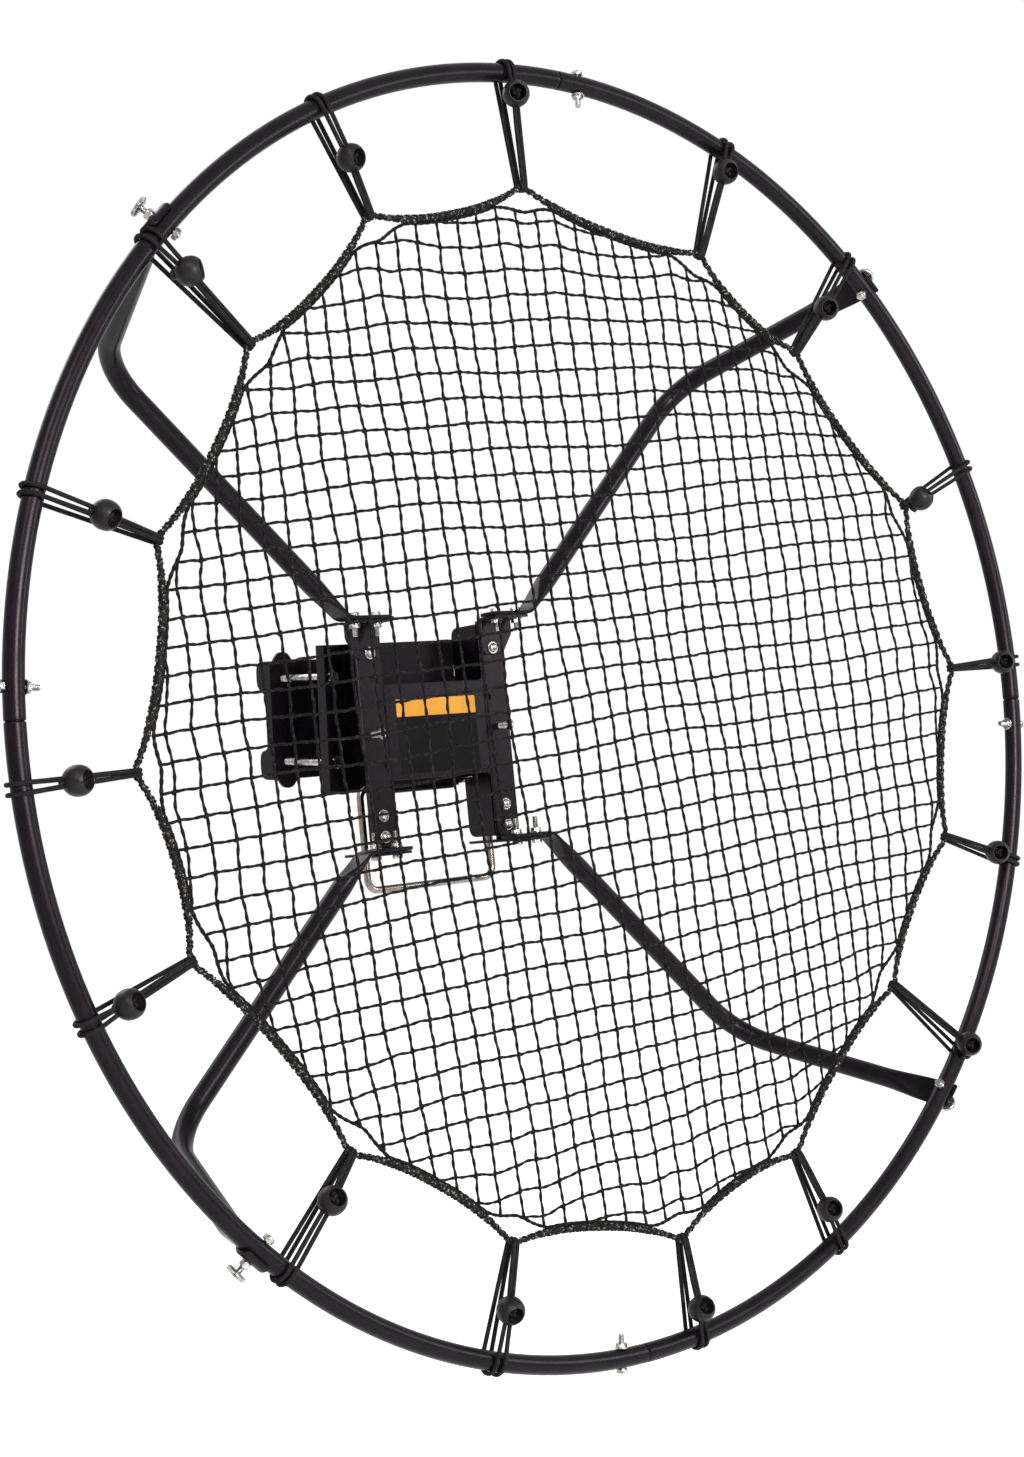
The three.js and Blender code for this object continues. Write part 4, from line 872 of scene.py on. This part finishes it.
def cord_ball(centre, axis):
    """A hollow plastic ball with a cut-off mouth along the axis, and a boss at its back."""
    edge, lip_rise, lip_share = 0.8, 0.4, 0.665
    boss_end = -BALL_RADIUS - BALL_BOSS_LENGTH
    boss_foot = -sqrt(BALL_RADIUS ** 2 - BALL_BOSS ** 2)
    profile = [(boss_end, BALL_BOSS - edge), (boss_end + edge, BALL_BOSS)]
    profile += [(boss_foot - 0.6, BALL_BOSS), (boss_foot, BALL_BOSS + 0.5)]
    for share in np.linspace(0.9, 0.05, 12):
        profile.append((-BALL_RADIUS * share, BALL_RADIUS * sqrt(1 - share * share)))
    for share in np.linspace(0, BALL_FACE, 10):
        reach = (1 - share ** BALL_FRONT_POWER) ** (1 / BALL_FRONT_POWER)
        profile.append((BALL_RADIUS * share, BALL_RADIUS * reach))
    face = BALL_RADIUS * BALL_FACE
    lip = face + lip_rise
    profile += [(lip, BALL_RADIUS * lip_share), (lip, BALL_MOUTH + lip_rise), (face, BALL_MOUTH)]
    for depth_share, radius_share in ((0.7, 0.95), (1, 0.6)):
        profile.append((face - BALL_MOUTH_DEPTH * depth_share, BALL_MOUTH * radius_share))
    shape = Shape(centre, axis)
    shape.turned(profile, sides=32)
    return shape


def cord_knot(shape, centre, axis):
    """The cord's two ends, tied into a small knot of three loops inside the ball's mouth."""
    size, start, loops, rise = 1.5, 3.5, 1.7, 1.6
    shape.about(centre, axis)
    phase = full_turn(48)
    wide = np.sin(phase) + loops * np.sin(2 * phase)
    high = np.cos(phase) - loops * np.cos(2 * phase)
    deep = -rise * np.sin(3 * phase)
    turns = np.outer(wide, shape.across) + np.outer(high, shape.along) + np.outer(deep, shape.axis)
    path = centre + shape.axis * start + size * turns
    shape.tube(path, ELASTIC_RADIUS * 0.8, 8, start=shape.axis, loop=True)


def elastic_cord(i):
    ball, corner = HOOP_RADIUS * BALL_SHARES[i], corner_radius(i)
    depth = ball_depth(ball)
    place = hoop_place(cord_angle(i))
    spread = 3.2 + 1.6 * abs(varied(i, 1.9))
    strands = Shape()
    for side in (-1, 1):
        path = place(smooth(strand_path(side, corner, ball, depth, spread)))
        strands.tube(path, ELASTIC_RADIUS, 10, start=along_hoop(cord_angle(i)))
    centre = place([(ball, 0, -depth)])[0]
    cord_knot(strands, centre, ball_axis(i))
    piece(f"elastic_strands_{i + 1:02d}", strands, ELASTIC, [f"elastic_cord_{i + 1:02d}"])
    piece(f"cord_ball_{i + 1:02d}", cord_ball(centre, ball_axis(i)), PLASTIC)


# Hoop

def hoop_ring(angle, radius):
    return ring_of(at_hoop_plane(radial(angle) * HOOP_RADIUS), radial(angle), Y, radius, full_turn(28))


def hoop_tube(name, k):
    """A quarter of the hoop, with a drawn-down neck that enters the next quarter."""
    start, end = HOOP_SEAM + k * QUARTER, HOOP_SEAM + (k + 1) * QUARTER
    neck = HOOP_TUBE - HOOP_WALL - GAP
    # Each step is a distance past the start or the end, and a radius
    mouth = [(0.35, HOOP_TUBE - 0.6), (0.8, HOOP_TUBE - 0.1), (1.4, HOOP_TUBE)]
    shoulder = [(-1.6, HOOP_TUBE), (-0.9, HOOP_TUBE - 0.2), (-0.4, neck + 0.3)]
    shoulder += [(0, neck), (NECK_LENGTH, neck)]
    outer = [(start + distance / HOOP_RADIUS, radius) for distance, radius in mouth]
    middle = np.linspace(start + 4 / HOOP_RADIUS, end - 5 / HOOP_RADIUS, HOOP_STEPS)
    outer += [(angle, HOOP_TUBE) for angle in middle]
    outer += [(end + distance / HOOP_RADIUS, radius) for distance, radius in shoulder]
    bore = [(angle, radius - HOOP_WALL) for angle, radius in outer[::-1]]
    shape = Shape()
    shape.loft([hoop_ring(angle, radius) for angle, radius in outer + bore], loop=True)
    piece(f"hoop_quarter_{name}", shape, POWDER, [f"hoop_tube_{name}"])


def hoop_bolt(k):
    angle = HOOP_SEAM + k * QUARTER + JOINT_BOLT_INSET / HOOP_RADIUS
    seat = HOOP_TUBE + GAP
    nut_end = seat + SMALL_NUT
    shape = Shape(at_hoop_plane(radial(angle) * HOOP_RADIUS), radial(angle))
    shape.hexagon(seat, seat + SMALL_HEAD, SMALL_HEX)
    shape.hexagon(-nut_end, -seat - WASHER_HEIGHT * 0.6, SMALL_HEX)
    shape.washer(-seat - WASHER_HEIGHT, -seat + 0.1, WASHER_RADIUS)
    shape.shank(-seat, seat, SMALL_BOLT)
    shape.thread(-nut_end - JOINT_BOLT_TAIL, -seat, SMALL_BOLT)
    piece(f"joint_bolt_{k + 1}", shape, ZINC, [f"hoop_bolt_{k + 1}"])


# Arms

def flattened_ring(at, across, along, half_across, half_along):
    """A flattened tube's section: two half rounds with flat sides between them."""
    radius = min(half_across, half_along)
    around = full_turn(32, 0.5)
    c, s = np.cos(around), np.sin(around)
    wide = radius * c + np.sign(c) * (half_across - radius)
    deep = radius * s + np.sign(s) * (half_along - radius)
    return at + np.outer(wide, across) + np.outer(deep, along)


def flat_section(inset=FLAT_CORNER):
    """Half sizes of the bolted flat, drawn in near its rounded tip."""
    drawn_in = FLAT_CORNER - sqrt(FLAT_CORNER ** 2 - (FLAT_CORNER - inset) ** 2)
    return FLAT_HALF_WIDTH - drawn_in, FLAT_THICKNESS / 2


def eased(share):
    return share * share * (3 - 2 * share)


def mixed(first, second, share):
    return tuple(a + (b - a) * eased(share) for a, b in zip(first, second))


TUBE_SECTION = (ARM_RADIUS, ARM_RADIUS)
LEAF_SECTION = (FLAT_THICKNESS / 2, FLAT_HALF_WIDTH)
KNEE_LENGTH = KNEE_RADIUS * tan(pi / 8)
WRAP_RADIUS = HOOP_TUBE + GAP + FLAT_THICKNESS / 2
LEG_OFFSET = WRAP_RADIUS * cos(SADDLE_WRAP) - SADDLE_EASE * (1 - cos(SADDLE_WRAP))
SADDLE_START = (WRAP_RADIUS + SADDLE_EASE) * sin(SADDLE_WRAP)
LEG_TURN = QUARTER - LEG_LEAN
CLIP_LOWER_TOP = FRAME_BOTTOM + FLAT_THICKNESS + 2 * GAP


def on_leg(s, offset):
    """A point of an arm's last leg: its distance from the middle, and its depth."""
    distance = HOOP_RADIUS + offset * cos(LEG_LEAN) - s * sin(LEG_LEAN)
    return distance, -HOOP_REACH + offset * sin(LEG_LEAN) + s * cos(LEG_LEAN)


def flat_height(side_z):
    return (TAB_TOP if side_z > 0 else FRAME_BOTTOM) + GAP + FLAT_THICKNESS / 2


def arm_foot(side_x, side_z):
    """Rings of the bolted flat, and of the knee that turns it up to the 45 degree line."""
    across, up, height = X * side_x, Z * side_z, flat_height(side_z)

    def ring(x, rise, turn, section):
        at = across * x + up * (height + rise) - Y * ARM_FACE
        along = up * cos(turn) - across * sin(turn)
        return flattened_ring(at, Y, along, *section)

    rings = []
    for inset in (0.05, 0.3, 0.9, 1.9, 3.3, 5.0, FLAT_CORNER):
        width, thick = flat_section(inset)
        rings.append(ring(ARM_TIP + inset, 0, 0, (width, thick * min(1, 0.7 + inset))))
    for turn in np.linspace(0, pi / 4, 9):
        x = height - KNEE_LENGTH + KNEE_RADIUS * sin(turn)
        rings.append(ring(x, KNEE_RADIUS * (1 - cos(turn)), turn, flat_section()))
    return rings


def arm_run(side_z):
    """Stations from the knee to the hoop: distance, depth, turn and section."""
    knee_end = flat_height(side_z) * sqrt(2) + KNEE_LENGTH
    leg_length = (HOOP_REACH - ARM_FACE - LEG_OFFSET * sin(LEG_LEAN)) / cos(LEG_LEAN)
    bend_start = on_leg(leg_length, LEG_OFFSET)[0] - ARM_BEND_RADIUS * tan(LEG_TURN / 2)
    stations = []
    for share in np.linspace(0.1, 1, 10):
        section = mixed(flat_section(), TUBE_SECTION, share)
        stations.append((knee_end + FLARE_LENGTH * share, -ARM_FACE, 0, section))
    for turn in np.linspace(0, LEG_TURN, 22):
        distance = bend_start + ARM_BEND_RADIUS * sin(turn)
        stations.append((distance, -ARM_FACE - ARM_BEND_RADIUS * (1 - cos(turn)), turn, TUBE_SECTION))
    for share in np.linspace(0, 1, 14):
        s = SADDLE_START + SADDLE_FLARE * (1 - share)
        stations.append((*on_leg(s, LEG_OFFSET), LEG_TURN, mixed(TUBE_SECTION, LEAF_SECTION, share)))
    return stations + arm_saddle()


def arm_saddle():
    """Stations of the leaf's easing bend and its wrap round the hoop."""
    stations = []
    for turn in np.linspace(0, SADDLE_WRAP, 6)[1:-1]:
        s = SADDLE_START - SADDLE_EASE * sin(turn)
        offset = LEG_OFFSET + SADDLE_EASE * (1 - cos(turn))
        stations.append((*on_leg(s, offset), LEG_TURN - turn, LEAF_SECTION))
    for turn in np.linspace(SADDLE_WRAP, -SADDLE_FRONT_WRAP, 27):
        left = max(0, SADDLE_CORNER - WRAP_RADIUS * (turn + SADDLE_FRONT_WRAP))
        width = FLAT_HALF_WIDTH - SADDLE_CORNER + sqrt(SADDLE_CORNER ** 2 - left ** 2)
        at = on_leg(WRAP_RADIUS * sin(turn), WRAP_RADIUS * cos(turn))
        stations.append((*at, LEG_TURN - turn, (FLAT_THICKNESS / 2, width)))
    return stations


def arm(name, side_x, side_z):
    outward = unit(X * side_x + Z * side_z)
    along = unit(Z * side_z - X * side_x)
    rings = arm_foot(side_x, side_z)
    for distance, depth, turn, section in arm_run(side_z):
        across = Y * cos(turn) + outward * sin(turn)
        rings.append(flattened_ring(outward * distance + Y * depth, across, along, *section))
    shape = Shape()
    shape.loft(rings)
    piece(f"bent_arm_{name}", shape, POWDER, [f"arm_{name}"])


def arm_bolts(name, side_x, side_z):
    upper = side_z > 0
    head = TAB_TOP + FLAT_THICKNESS + 2 * GAP if upper else -CLIP_LOWER_TOP - CLIP_PLATE - GAP
    nut = TAB_TOP - CLIP_PLATE - GAP if upper else -FRAME_BOTTOM
    nut_end = nut - side_z * SMALL_NUT
    tail = UPPER_BOLT_TAIL if upper else LOWER_BOLT_TAIL
    for place, x in zip(("inner", "outer"), ARM_BOLTS):
        shape = Shape(X * side_x * x - Y * ARM_FACE, Z)
        shape.hexagon(head, head + side_z * SMALL_HEAD, SMALL_HEX)
        shape.hexagon(nut, nut_end, SMALL_HEX)
        shape.washer(nut - side_z * WASHER_HEIGHT, nut, WASHER_RADIUS)
        shape.thread(nut_end - side_z * tail, nut, SMALL_BOLT)
        shape.shank(nut, head, SMALL_BOLT)
        piece(f"flat_bolt_{name}_{place}", shape, ZINC, [f"arm_bolt_{name}_{place}"])


def thumb_screw(name):
    """A screw with a knurled disc for a head, and its nut on the hoop's inner side."""
    body = f"thumb_screw_{name}"
    joint = JOINTS[f"{body}_turn"]
    origin, axis = np.array(joint["pos_m"]) / MILLIMETRE, joint["axis"]
    seat = HOOP_TUBE + GAP
    collar = seat + FLAT_THICKNESS + GAP
    neck = collar + THUMB_COLLAR
    head = neck + THUMB_NECK
    top, rim = head + THUMB_HEAD, THUMB_HEAD_RADIUS
    floor, boss, teeth, depth = top - 0.35, 1.2, 44, 0.3

    def knurl(around):
        return rim - depth + depth * np.cos(around * teeth)

    shape = Shape(origin, axis)
    shape.hexagon(collar, neck, SMALL_HEX - 1, chamfer=0.7)
    shape.thread(neck - OVERLAP, head + OVERLAP, SMALL_BOLT)
    shape.thread(-seat - SMALL_NUT - THUMB_TAIL, collar + OVERLAP, SMALL_BOLT)
    shape.turned([
        (head, rim - 1.6), (head + 0.5, rim - 0.7), (head + 1, rim), (top - 1, rim), (top - 0.4, rim - 0.7),
        (top, rim - 1.8), (floor, rim - 2.6), (floor, boss),
    ], sides=3 * teeth, limit=knurl)
    piece(f"{body}_turned", shape, ZINC, [body], body, as_drawn)
    nut = Shape(origin, axis)
    nut.hexagon(-seat - SMALL_NUT, -seat, SMALL_HEX)
    piece(f"thumb_nut_{name}_hex", nut, ZINC, [f"thumb_nut_{name}"], place=as_drawn)


# Front frame, clips and lock

def clip_bolt_heights(side_z):
    first = CLIP_LOWER_HEIGHT - CLIP_LOWER_TOP - CLIP_PLATE - CLIP_BOLT_LOW
    return [TAB_TOP - CLIP_UPPER_HEIGHT + CLIP_BOLT_LOW] if side_z > 0 else [first, first - CLIP_BOLT_PITCH]


def pin_slot():
    half = LOCK_PIN_RADIUS + GAP
    low = arc((LOCK_ROD_BACK, -LOCK_PIN_DROP), half, pi, TURN, 10)
    high = arc((LOCK_ROD_BACK, -LOCK_PIN_DROP + LOCK_ROD_TRAVEL), half, 0, pi, 10)
    return low + high


def frame_outline():
    """The front plate's outline: an H with its cross plate between two legs on each side."""
    right = [
        (FRAME_INNER, -CROSS_BOTTOM, SMALL_CORNER), (FRAME_INNER, -FRAME_BOTTOM),
        (FRAME_OUTER, -FRAME_BOTTOM, PLATE_CORNER), (FRAME_OUTER, FRAME_TOP, PLATE_CORNER),
        (FRAME_INNER, FRAME_TOP), (FRAME_INNER, CROSS_TOP, SMALL_CORNER),
    ]
    return rounded(right + mirrored(right, -1))


def front_frame():
    front = -FRAME_FACE
    back = front + FRAME_PLATE
    holes = [circle(side * HOLE_X, z, HOLE_RADIUS) for side in (-1, 1) for z in (-HOLE_Z, HOLE_Z)]
    flange = rounded([
        (front, -FRAME_BOTTOM), (FLANGE_BACK, -FRAME_BOTTOM, FLANGE_CORNER),
        (FLANGE_BACK, FLANGE_TOP, FLANGE_CORNER), (front, FLANGE_TOP),
    ], steps=10)
    flange_holes = [circle(0, 0, PIVOT_RADIUS + GAP), pin_slot()]
    shape = Shape()
    plate(shape, frame_outline(), holes, front, back, FACING)
    for side in (-1, 1):
        low, high = sorted((side * FRAME_INNER, side * (FRAME_INNER + FRAME_PLATE)))
        plate(shape, flange, flange_holes, low, high, SIDEWAYS)
        for z in (-HOLE_Z, HOLE_Z):
            plug = circle(side * HOLE_X, z, PLUG_RADIUS)
            plate(shape, plug, [], back, back + PLUG_THICKNESS, FACING, edge=0.2)
    piece("frame_plates", shape, POWDER, ["front_frame"], sharp=20)


def stud_rise(share):
    """How tall a stud's flat head is along its length: it widens from its neck, then rounds off."""
    neck, end, fullness = 0.62, 0.3, 1.35
    if share <= 1 / 3:
        return neck + (1 - neck) * eased(3 * share)
    return max(end, 1 - abs(1.5 * share - 0.5) ** 3 / fullness)


def stand_offs():
    """Two short bolts with flat, upright heads, on the front frame's legs."""
    shape = Shape()
    base = -FRAME_FACE - STUD_LENGTH
    for side in (-1, 1):
        shape.about(X * side * STUD_X, Y)
        shape.thread(base - 2, -FRAME_FACE + FRAME_PLATE, STUD_RADIUS)
        rings = []
        for share in (0, 0.08, 0.25, 0.5, 0.75, 0.9, 0.97, 1):
            half_sizes = STUD_HEAD_HALF_WIDTH * (1 - 0.3 * share), STUD_HEAD_RISE * stud_rise(share)
            at = X * side * STUD_X + Y * (base - STUD_HEAD * share)
            rings.append(flattened_ring(at, X, Z, *half_sizes))
        shape.loft(rings)
    piece("stand_off_bolts", shape, ZINC)


def clip_bolts(name, side_x, side_z, front, back):
    shape = Shape()
    head = front - WASHER_HEIGHT
    for z in clip_bolt_heights(side_z):
        shape.about((side_x * CLIP_BOLT_X, 0, z), Y)
        shape.dome(head, head - DOME_HEIGHT, DOME_RADIUS)
        shape.washer(head, front, WASHER_RADIUS)
        shape.shank(front - OVERLAP, back, SMALL_BOLT)
        shape.hexagon(back, back + SMALL_NUT, SMALL_HEX)
    piece(f"clip_bolts_{name}", shape, ZINC)


def mirrored(points, side):
    """Outline points as they are for side 1, and on the other side for side -1."""
    return [(side * x, y, *rest) for x, y, *rest in points][::side]


def clip_shape(side_x, wall, tab, front, low, holes=()):
    """A clip's upright wall and its level tab with the arm's bolt holes, on one side or the other."""
    arm_holes = [circle(side_x * x, -ARM_FACE, SMALL_BOLT + GAP, 18) for x in ARM_BOLTS]
    shape = Shape()
    plate(shape, rounded(mirrored(wall, side_x)), [], front, front + CLIP_PLATE, FACING)
    plate(shape, rounded(mirrored(tab, side_x)), [*arm_holes, *holes], low, low + CLIP_PLATE, LEVEL)
    return shape


def upper_clip(name, side_x):
    """A clip in front of the frame, whose tab is bent back over the arm's flat."""
    back = -FRAME_FACE - GAP
    front = back - CLIP_PLATE
    bottom = TAB_TOP - CLIP_UPPER_HEIGHT
    reach = BEND_RADIUS + CLIP_PLATE
    wall = [
        (CLIP_EDGE, bottom, PLATE_CORNER), (CLIP_FOOT, bottom, SMALL_CORNER),
        (CLIP_SHOULDER, bottom + CLIP_SHOULDER_RISE, SMALL_CORNER),
        (CLIP_SHOULDER, TAB_TOP - reach), (CLIP_EDGE, TAB_TOP - reach),
    ]
    tab = [
        (CLIP_EDGE, -TAB_FORWARD, PLATE_CORNER), (TAB_END, -TAB_FORWARD, PLATE_CORNER),
        (TAB_END, front - TAB_SLOPE, PLATE_CORNER), (CLIP_SHOULDER, back - reach), (CLIP_EDGE, back - reach),
    ]
    shape = clip_shape(side_x, wall, tab, front, TAB_TOP - CLIP_PLATE)
    middle = (back - reach, TAB_TOP - reach)
    bend = arc(middle, reach, 0, QUARTER, 6) + arc(middle, BEND_RADIUS, QUARTER, 0, 6)
    ends = sorted((side_x * CLIP_EDGE, side_x * CLIP_SHOULDER))
    shape.loft([[(x, y, z) for y, z in bend] for x in ends])
    piece(f"clip_plate_{name}", shape, POWDER, [f"clip_{name}"], sharp=20)
    clip_bolts(name, side_x, 1, front, -FRAME_FACE + FRAME_PLATE + GAP)


def lower_clip(name, side_x):
    front = -FRAME_FACE + FRAME_PLATE + GAP
    back = front + CLIP_PLATE
    bottom = -CLIP_LOWER_TOP - CLIP_PLATE
    top = bottom + CLIP_LOWER_HEIGHT
    wall = [
        (CLIP_EDGE, bottom + OVERLAP), (FRAME_OUTER, bottom + OVERLAP),
        (FRAME_OUTER, top, PLATE_CORNER), (CLIP_EDGE, top, PLATE_CORNER),
    ]
    tab = [
        (CLIP_EDGE, -TAB_FORWARD, PLATE_CORNER), (TAB_END, -TAB_FORWARD, PLATE_CORNER),
        (TAB_END, -FRAME_FACE, PLATE_CORNER), (FRAME_OUTER, back),
        (FRAME_OUTER, CLIP_GUIDE_BACK, PLATE_CORNER), (CLIP_EDGE, CLIP_GUIDE_BACK, PLATE_CORNER),
    ]
    guide = circle(side_x * LOCK_ROD_X, LOCK_ROD_BACK, LOCK_ROD_RADIUS + GAP)
    shape = clip_shape(side_x, wall, tab, front, bottom, [guide])
    piece(f"clip_plate_{name}", shape, POWDER, [f"clip_{name}"], sharp=20)
    clip_bolts(name, side_x, -1, -FRAME_FACE - GAP, back)


def lock_rod():
    """A U of bright bar whose ends turn inward as two thinner pins."""
    inset = LOCK_ROD_X - LOCK_ROD_BEND
    low, high = LOCK_ROD_BEND - LOCK_ROD_DROP, -LOCK_PIN_DROP - LOCK_ROD_BEND
    shoulder = FRAME_INNER + FRAME_PLATE + GAP
    pin_steps = (LOCK_PIN_END, LOCK_PIN_END + LOCK_PIN_EDGE, shoulder - 0.6, shoulder)
    flat = [(-x, -LOCK_PIN_DROP) for x in pin_steps]
    for corner, centre in ((1, (-inset, high)), (2, (-inset, low)), (3, (inset, low)), (0, (inset, high))):
        flat += arc(centre, LOCK_ROD_BEND, corner * QUARTER, (corner + 1) * QUARTER, 10)
    flat += [(-x, z) for x, z in flat[3::-1]]
    path = np.array([(x, LOCK_ROD_BACK, z) for x, z in flat])
    pin = [LOCK_PIN_RADIUS - LOCK_PIN_EDGE, LOCK_PIN_RADIUS, LOCK_PIN_RADIUS]
    radii = np.array(pin + [LOCK_ROD_RADIUS] * (len(flat) - 6) + pin[::-1])
    shape = Shape()
    shape.tube(path, radii, 20)
    piece("lock_bar", shape, NICKEL, ["lock_rod"], "lock_rod")


def label_panel():
    """A plain amber band over a plain black panel, on the cross plate."""
    back = -FRAME_FACE
    for name, finish, (low, high) in (("label_band", AMBER, LABEL_BAND), ("label_panel", PANEL, LABEL_PANEL)):
        right = [(LABEL_HALF_WIDTH, low, 1), (LABEL_HALF_WIDTH, high, 1)]
        outline = rounded(right + mirrored(right, -1), steps=3)
        shape = Shape()
        plate(shape, outline, [], back - LABEL_THICKNESS, back, FACING, edge=0.1)
        piece(name, shape, finish)


# Clamp

def clamp_bolt(name, side_x, side_z):
    head = EAR_BACK - CLAMP_PLATE - GAP
    nut = POLE_WIDTH + GAP + CLAMP_PLATE + GAP
    thread_start = nut - CLAMP_THREAD
    shape = Shape((side_x * CLAMP_BOLT_X, 0, side_z * CLAMP_BOLT_Z), Y)
    shape.hexagon(head - CLAMP_HEAD, head, CLAMP_HEX, CLAMP_CHAMFER)
    shape.shank(head - OVERLAP, thread_start, CLAMP_BOLT_RADIUS)
    shape.thread(thread_start, nut + CLAMP_NUT + CLAMP_TAIL, CLAMP_BOLT_RADIUS)
    shape.washer(nut, nut + WASHER_HEIGHT, CLAMP_WASHER_RADIUS)
    shape.hexagon(nut + OVERLAP, nut + CLAMP_NUT, CLAMP_HEX, CLAMP_CHAMFER)
    piece(f"long_bolt_{name}", shape, ZINC, [f"clamp_bolt_{name}"], "pole_clamp", as_drawn)


def pivot_bolt(name, side):
    nut = BRACKET_HALF_WIDTH - CLAMP_PLATE - GAP
    outer = FRAME_INNER + FRAME_PLATE + GAP
    shape = Shape(PIVOT, X * side)
    shape.thread(nut - CLAMP_NUT - PIVOT_TAIL, nut, PIVOT_RADIUS)
    shape.hexagon(nut - CLAMP_NUT, nut, CLAMP_HEX, CLAMP_CHAMFER)
    shape.shank(nut, outer, PIVOT_RADIUS)
    shape.shank(BRACKET_HALF_WIDTH + GAP, FRAME_INNER - GAP, PIVOT_HEAD_RADIUS)
    shape.dome(outer, outer + PIVOT_HEAD, PIVOT_HEAD_RADIUS)
    piece(f"pivot_{name}", shape, ZINC, [f"pivot_bolt_{name}"], "pole_clamp", as_drawn)


def dress_node(name, finish):
    """A solid of the model that stays, with its edges rounded and its finish put on."""
    node = frame["nodes"][name]
    node.data.materials.clear()
    node.data.materials.append(finish.material)
    rounding = node.modifiers.new("edges", "BEVEL")
    rounding.width = NODE_EDGE
    rounding.segments = 2
    rounding.limit_method = "ANGLE"
    rounding.angle_limit = 40 * DEGREE


# Stage

def stage_light(name, kind, power, place, target):
    """A light at a place that points at a target."""
    data = bpy.data.lights.new(name, kind)
    data.energy = power
    light = new_object(name, data)
    light.location = place
    light.rotation_euler = (Vector(target) - Vector(place)).to_track_quat("-Z", "Y").to_euler()
    return data


def make_lights():
    stage_light("key", "SUN", KEY_POWER, (0, 0, 0), KEY_DIRECTION).angle = KEY_SPREAD
    for name, place, target, size, power in AREA_LIGHTS:
        stage_light(name, "AREA", power, place, target).size = size


def seen_share(tree, most=1.0):
    """The given share for rays from the camera, gloss and glass, and nothing for other rays."""
    path = add_node(tree, "LightPath", {}).outputs
    seen = path["Is Camera Ray"]
    for ray in ("Is Glossy Ray", "Is Transmission Ray"):
        either = add_node(tree, "Math", {0: seen, 1: path[ray]})
        either.operation = "ADD"
        either.use_clamp = True
        seen = either.outputs[0]
    share = add_node(tree, "Math", {0: seen, 1: most})
    share.operation = "MULTIPLY"
    return share.outputs[0]


def make_world():
    world = bpy.data.worlds.new("studio")
    world.use_nodes = True
    tree = world.node_tree
    lit = tree.nodes["Background"]
    fill(tree, lit, {"Color": WHITE, "Strength": WORLD_LIGHT})
    bright = add_node(tree, "Background", {"Color": WHITE, "Strength": 1.0})
    mix = add_node(tree, "MixShader", {0: seen_share(tree), 1: lit.outputs[0], 2: bright.outputs[0]})
    fill(tree, tree.nodes["World Output"], {"Surface": mix.outputs[0]})
    scene.world = world


def floor_inputs(tree):
    return {
        "Base Color": ramp(tree, noise(tree, 2.0), [(0.3, (0.86, 0.86, 0.86)), (0.7, (0.90, 0.90, 0.90))]),
        "Roughness": 0.9, "Emission Color": WHITE, "Emission Strength": seen_share(tree, FLOOR_LIFT),
    }


def make_floor():
    corners = [(x * FLOOR_HALF, y * FLOOR_HALF, FLOOR_HEIGHT) for x, y in CORNERS.values()]
    mesh = bpy.data.meshes.new("floor")
    mesh.from_pydata(corners, [], [(3, 2, 1, 0)])
    mesh.materials.append(material_of("floor", floor_inputs))
    new_object("floor", mesh)


make_camera()
make_net()
for number in range(len(CORD_ANGLES)):
    elastic_cord(number)
for quarter, (corner_name, (to_x, to_z)) in enumerate(CORNERS.items()):
    hoop_tube(corner_name, quarter)
    hoop_bolt(quarter)
    arm(corner_name, to_x, to_z)
    arm_bolts(corner_name, to_x, to_z)
    thumb_screw(corner_name)
    clamp_bolt(corner_name, to_x, to_z)
    if to_z > 0:
        upper_clip(corner_name, to_x)
    else:
        lower_clip(corner_name, to_x)
front_frame()
stand_offs()
lock_rod()
label_panel()
pivot_bolt("left", -1)
pivot_bolt("right", 1)
dress_node("pole_bracket", POWDER)
dress_node("rear_jaw", POWDER)
make_world()
make_floor()
make_lights()
scene.view_settings.view_transform = "Standard"
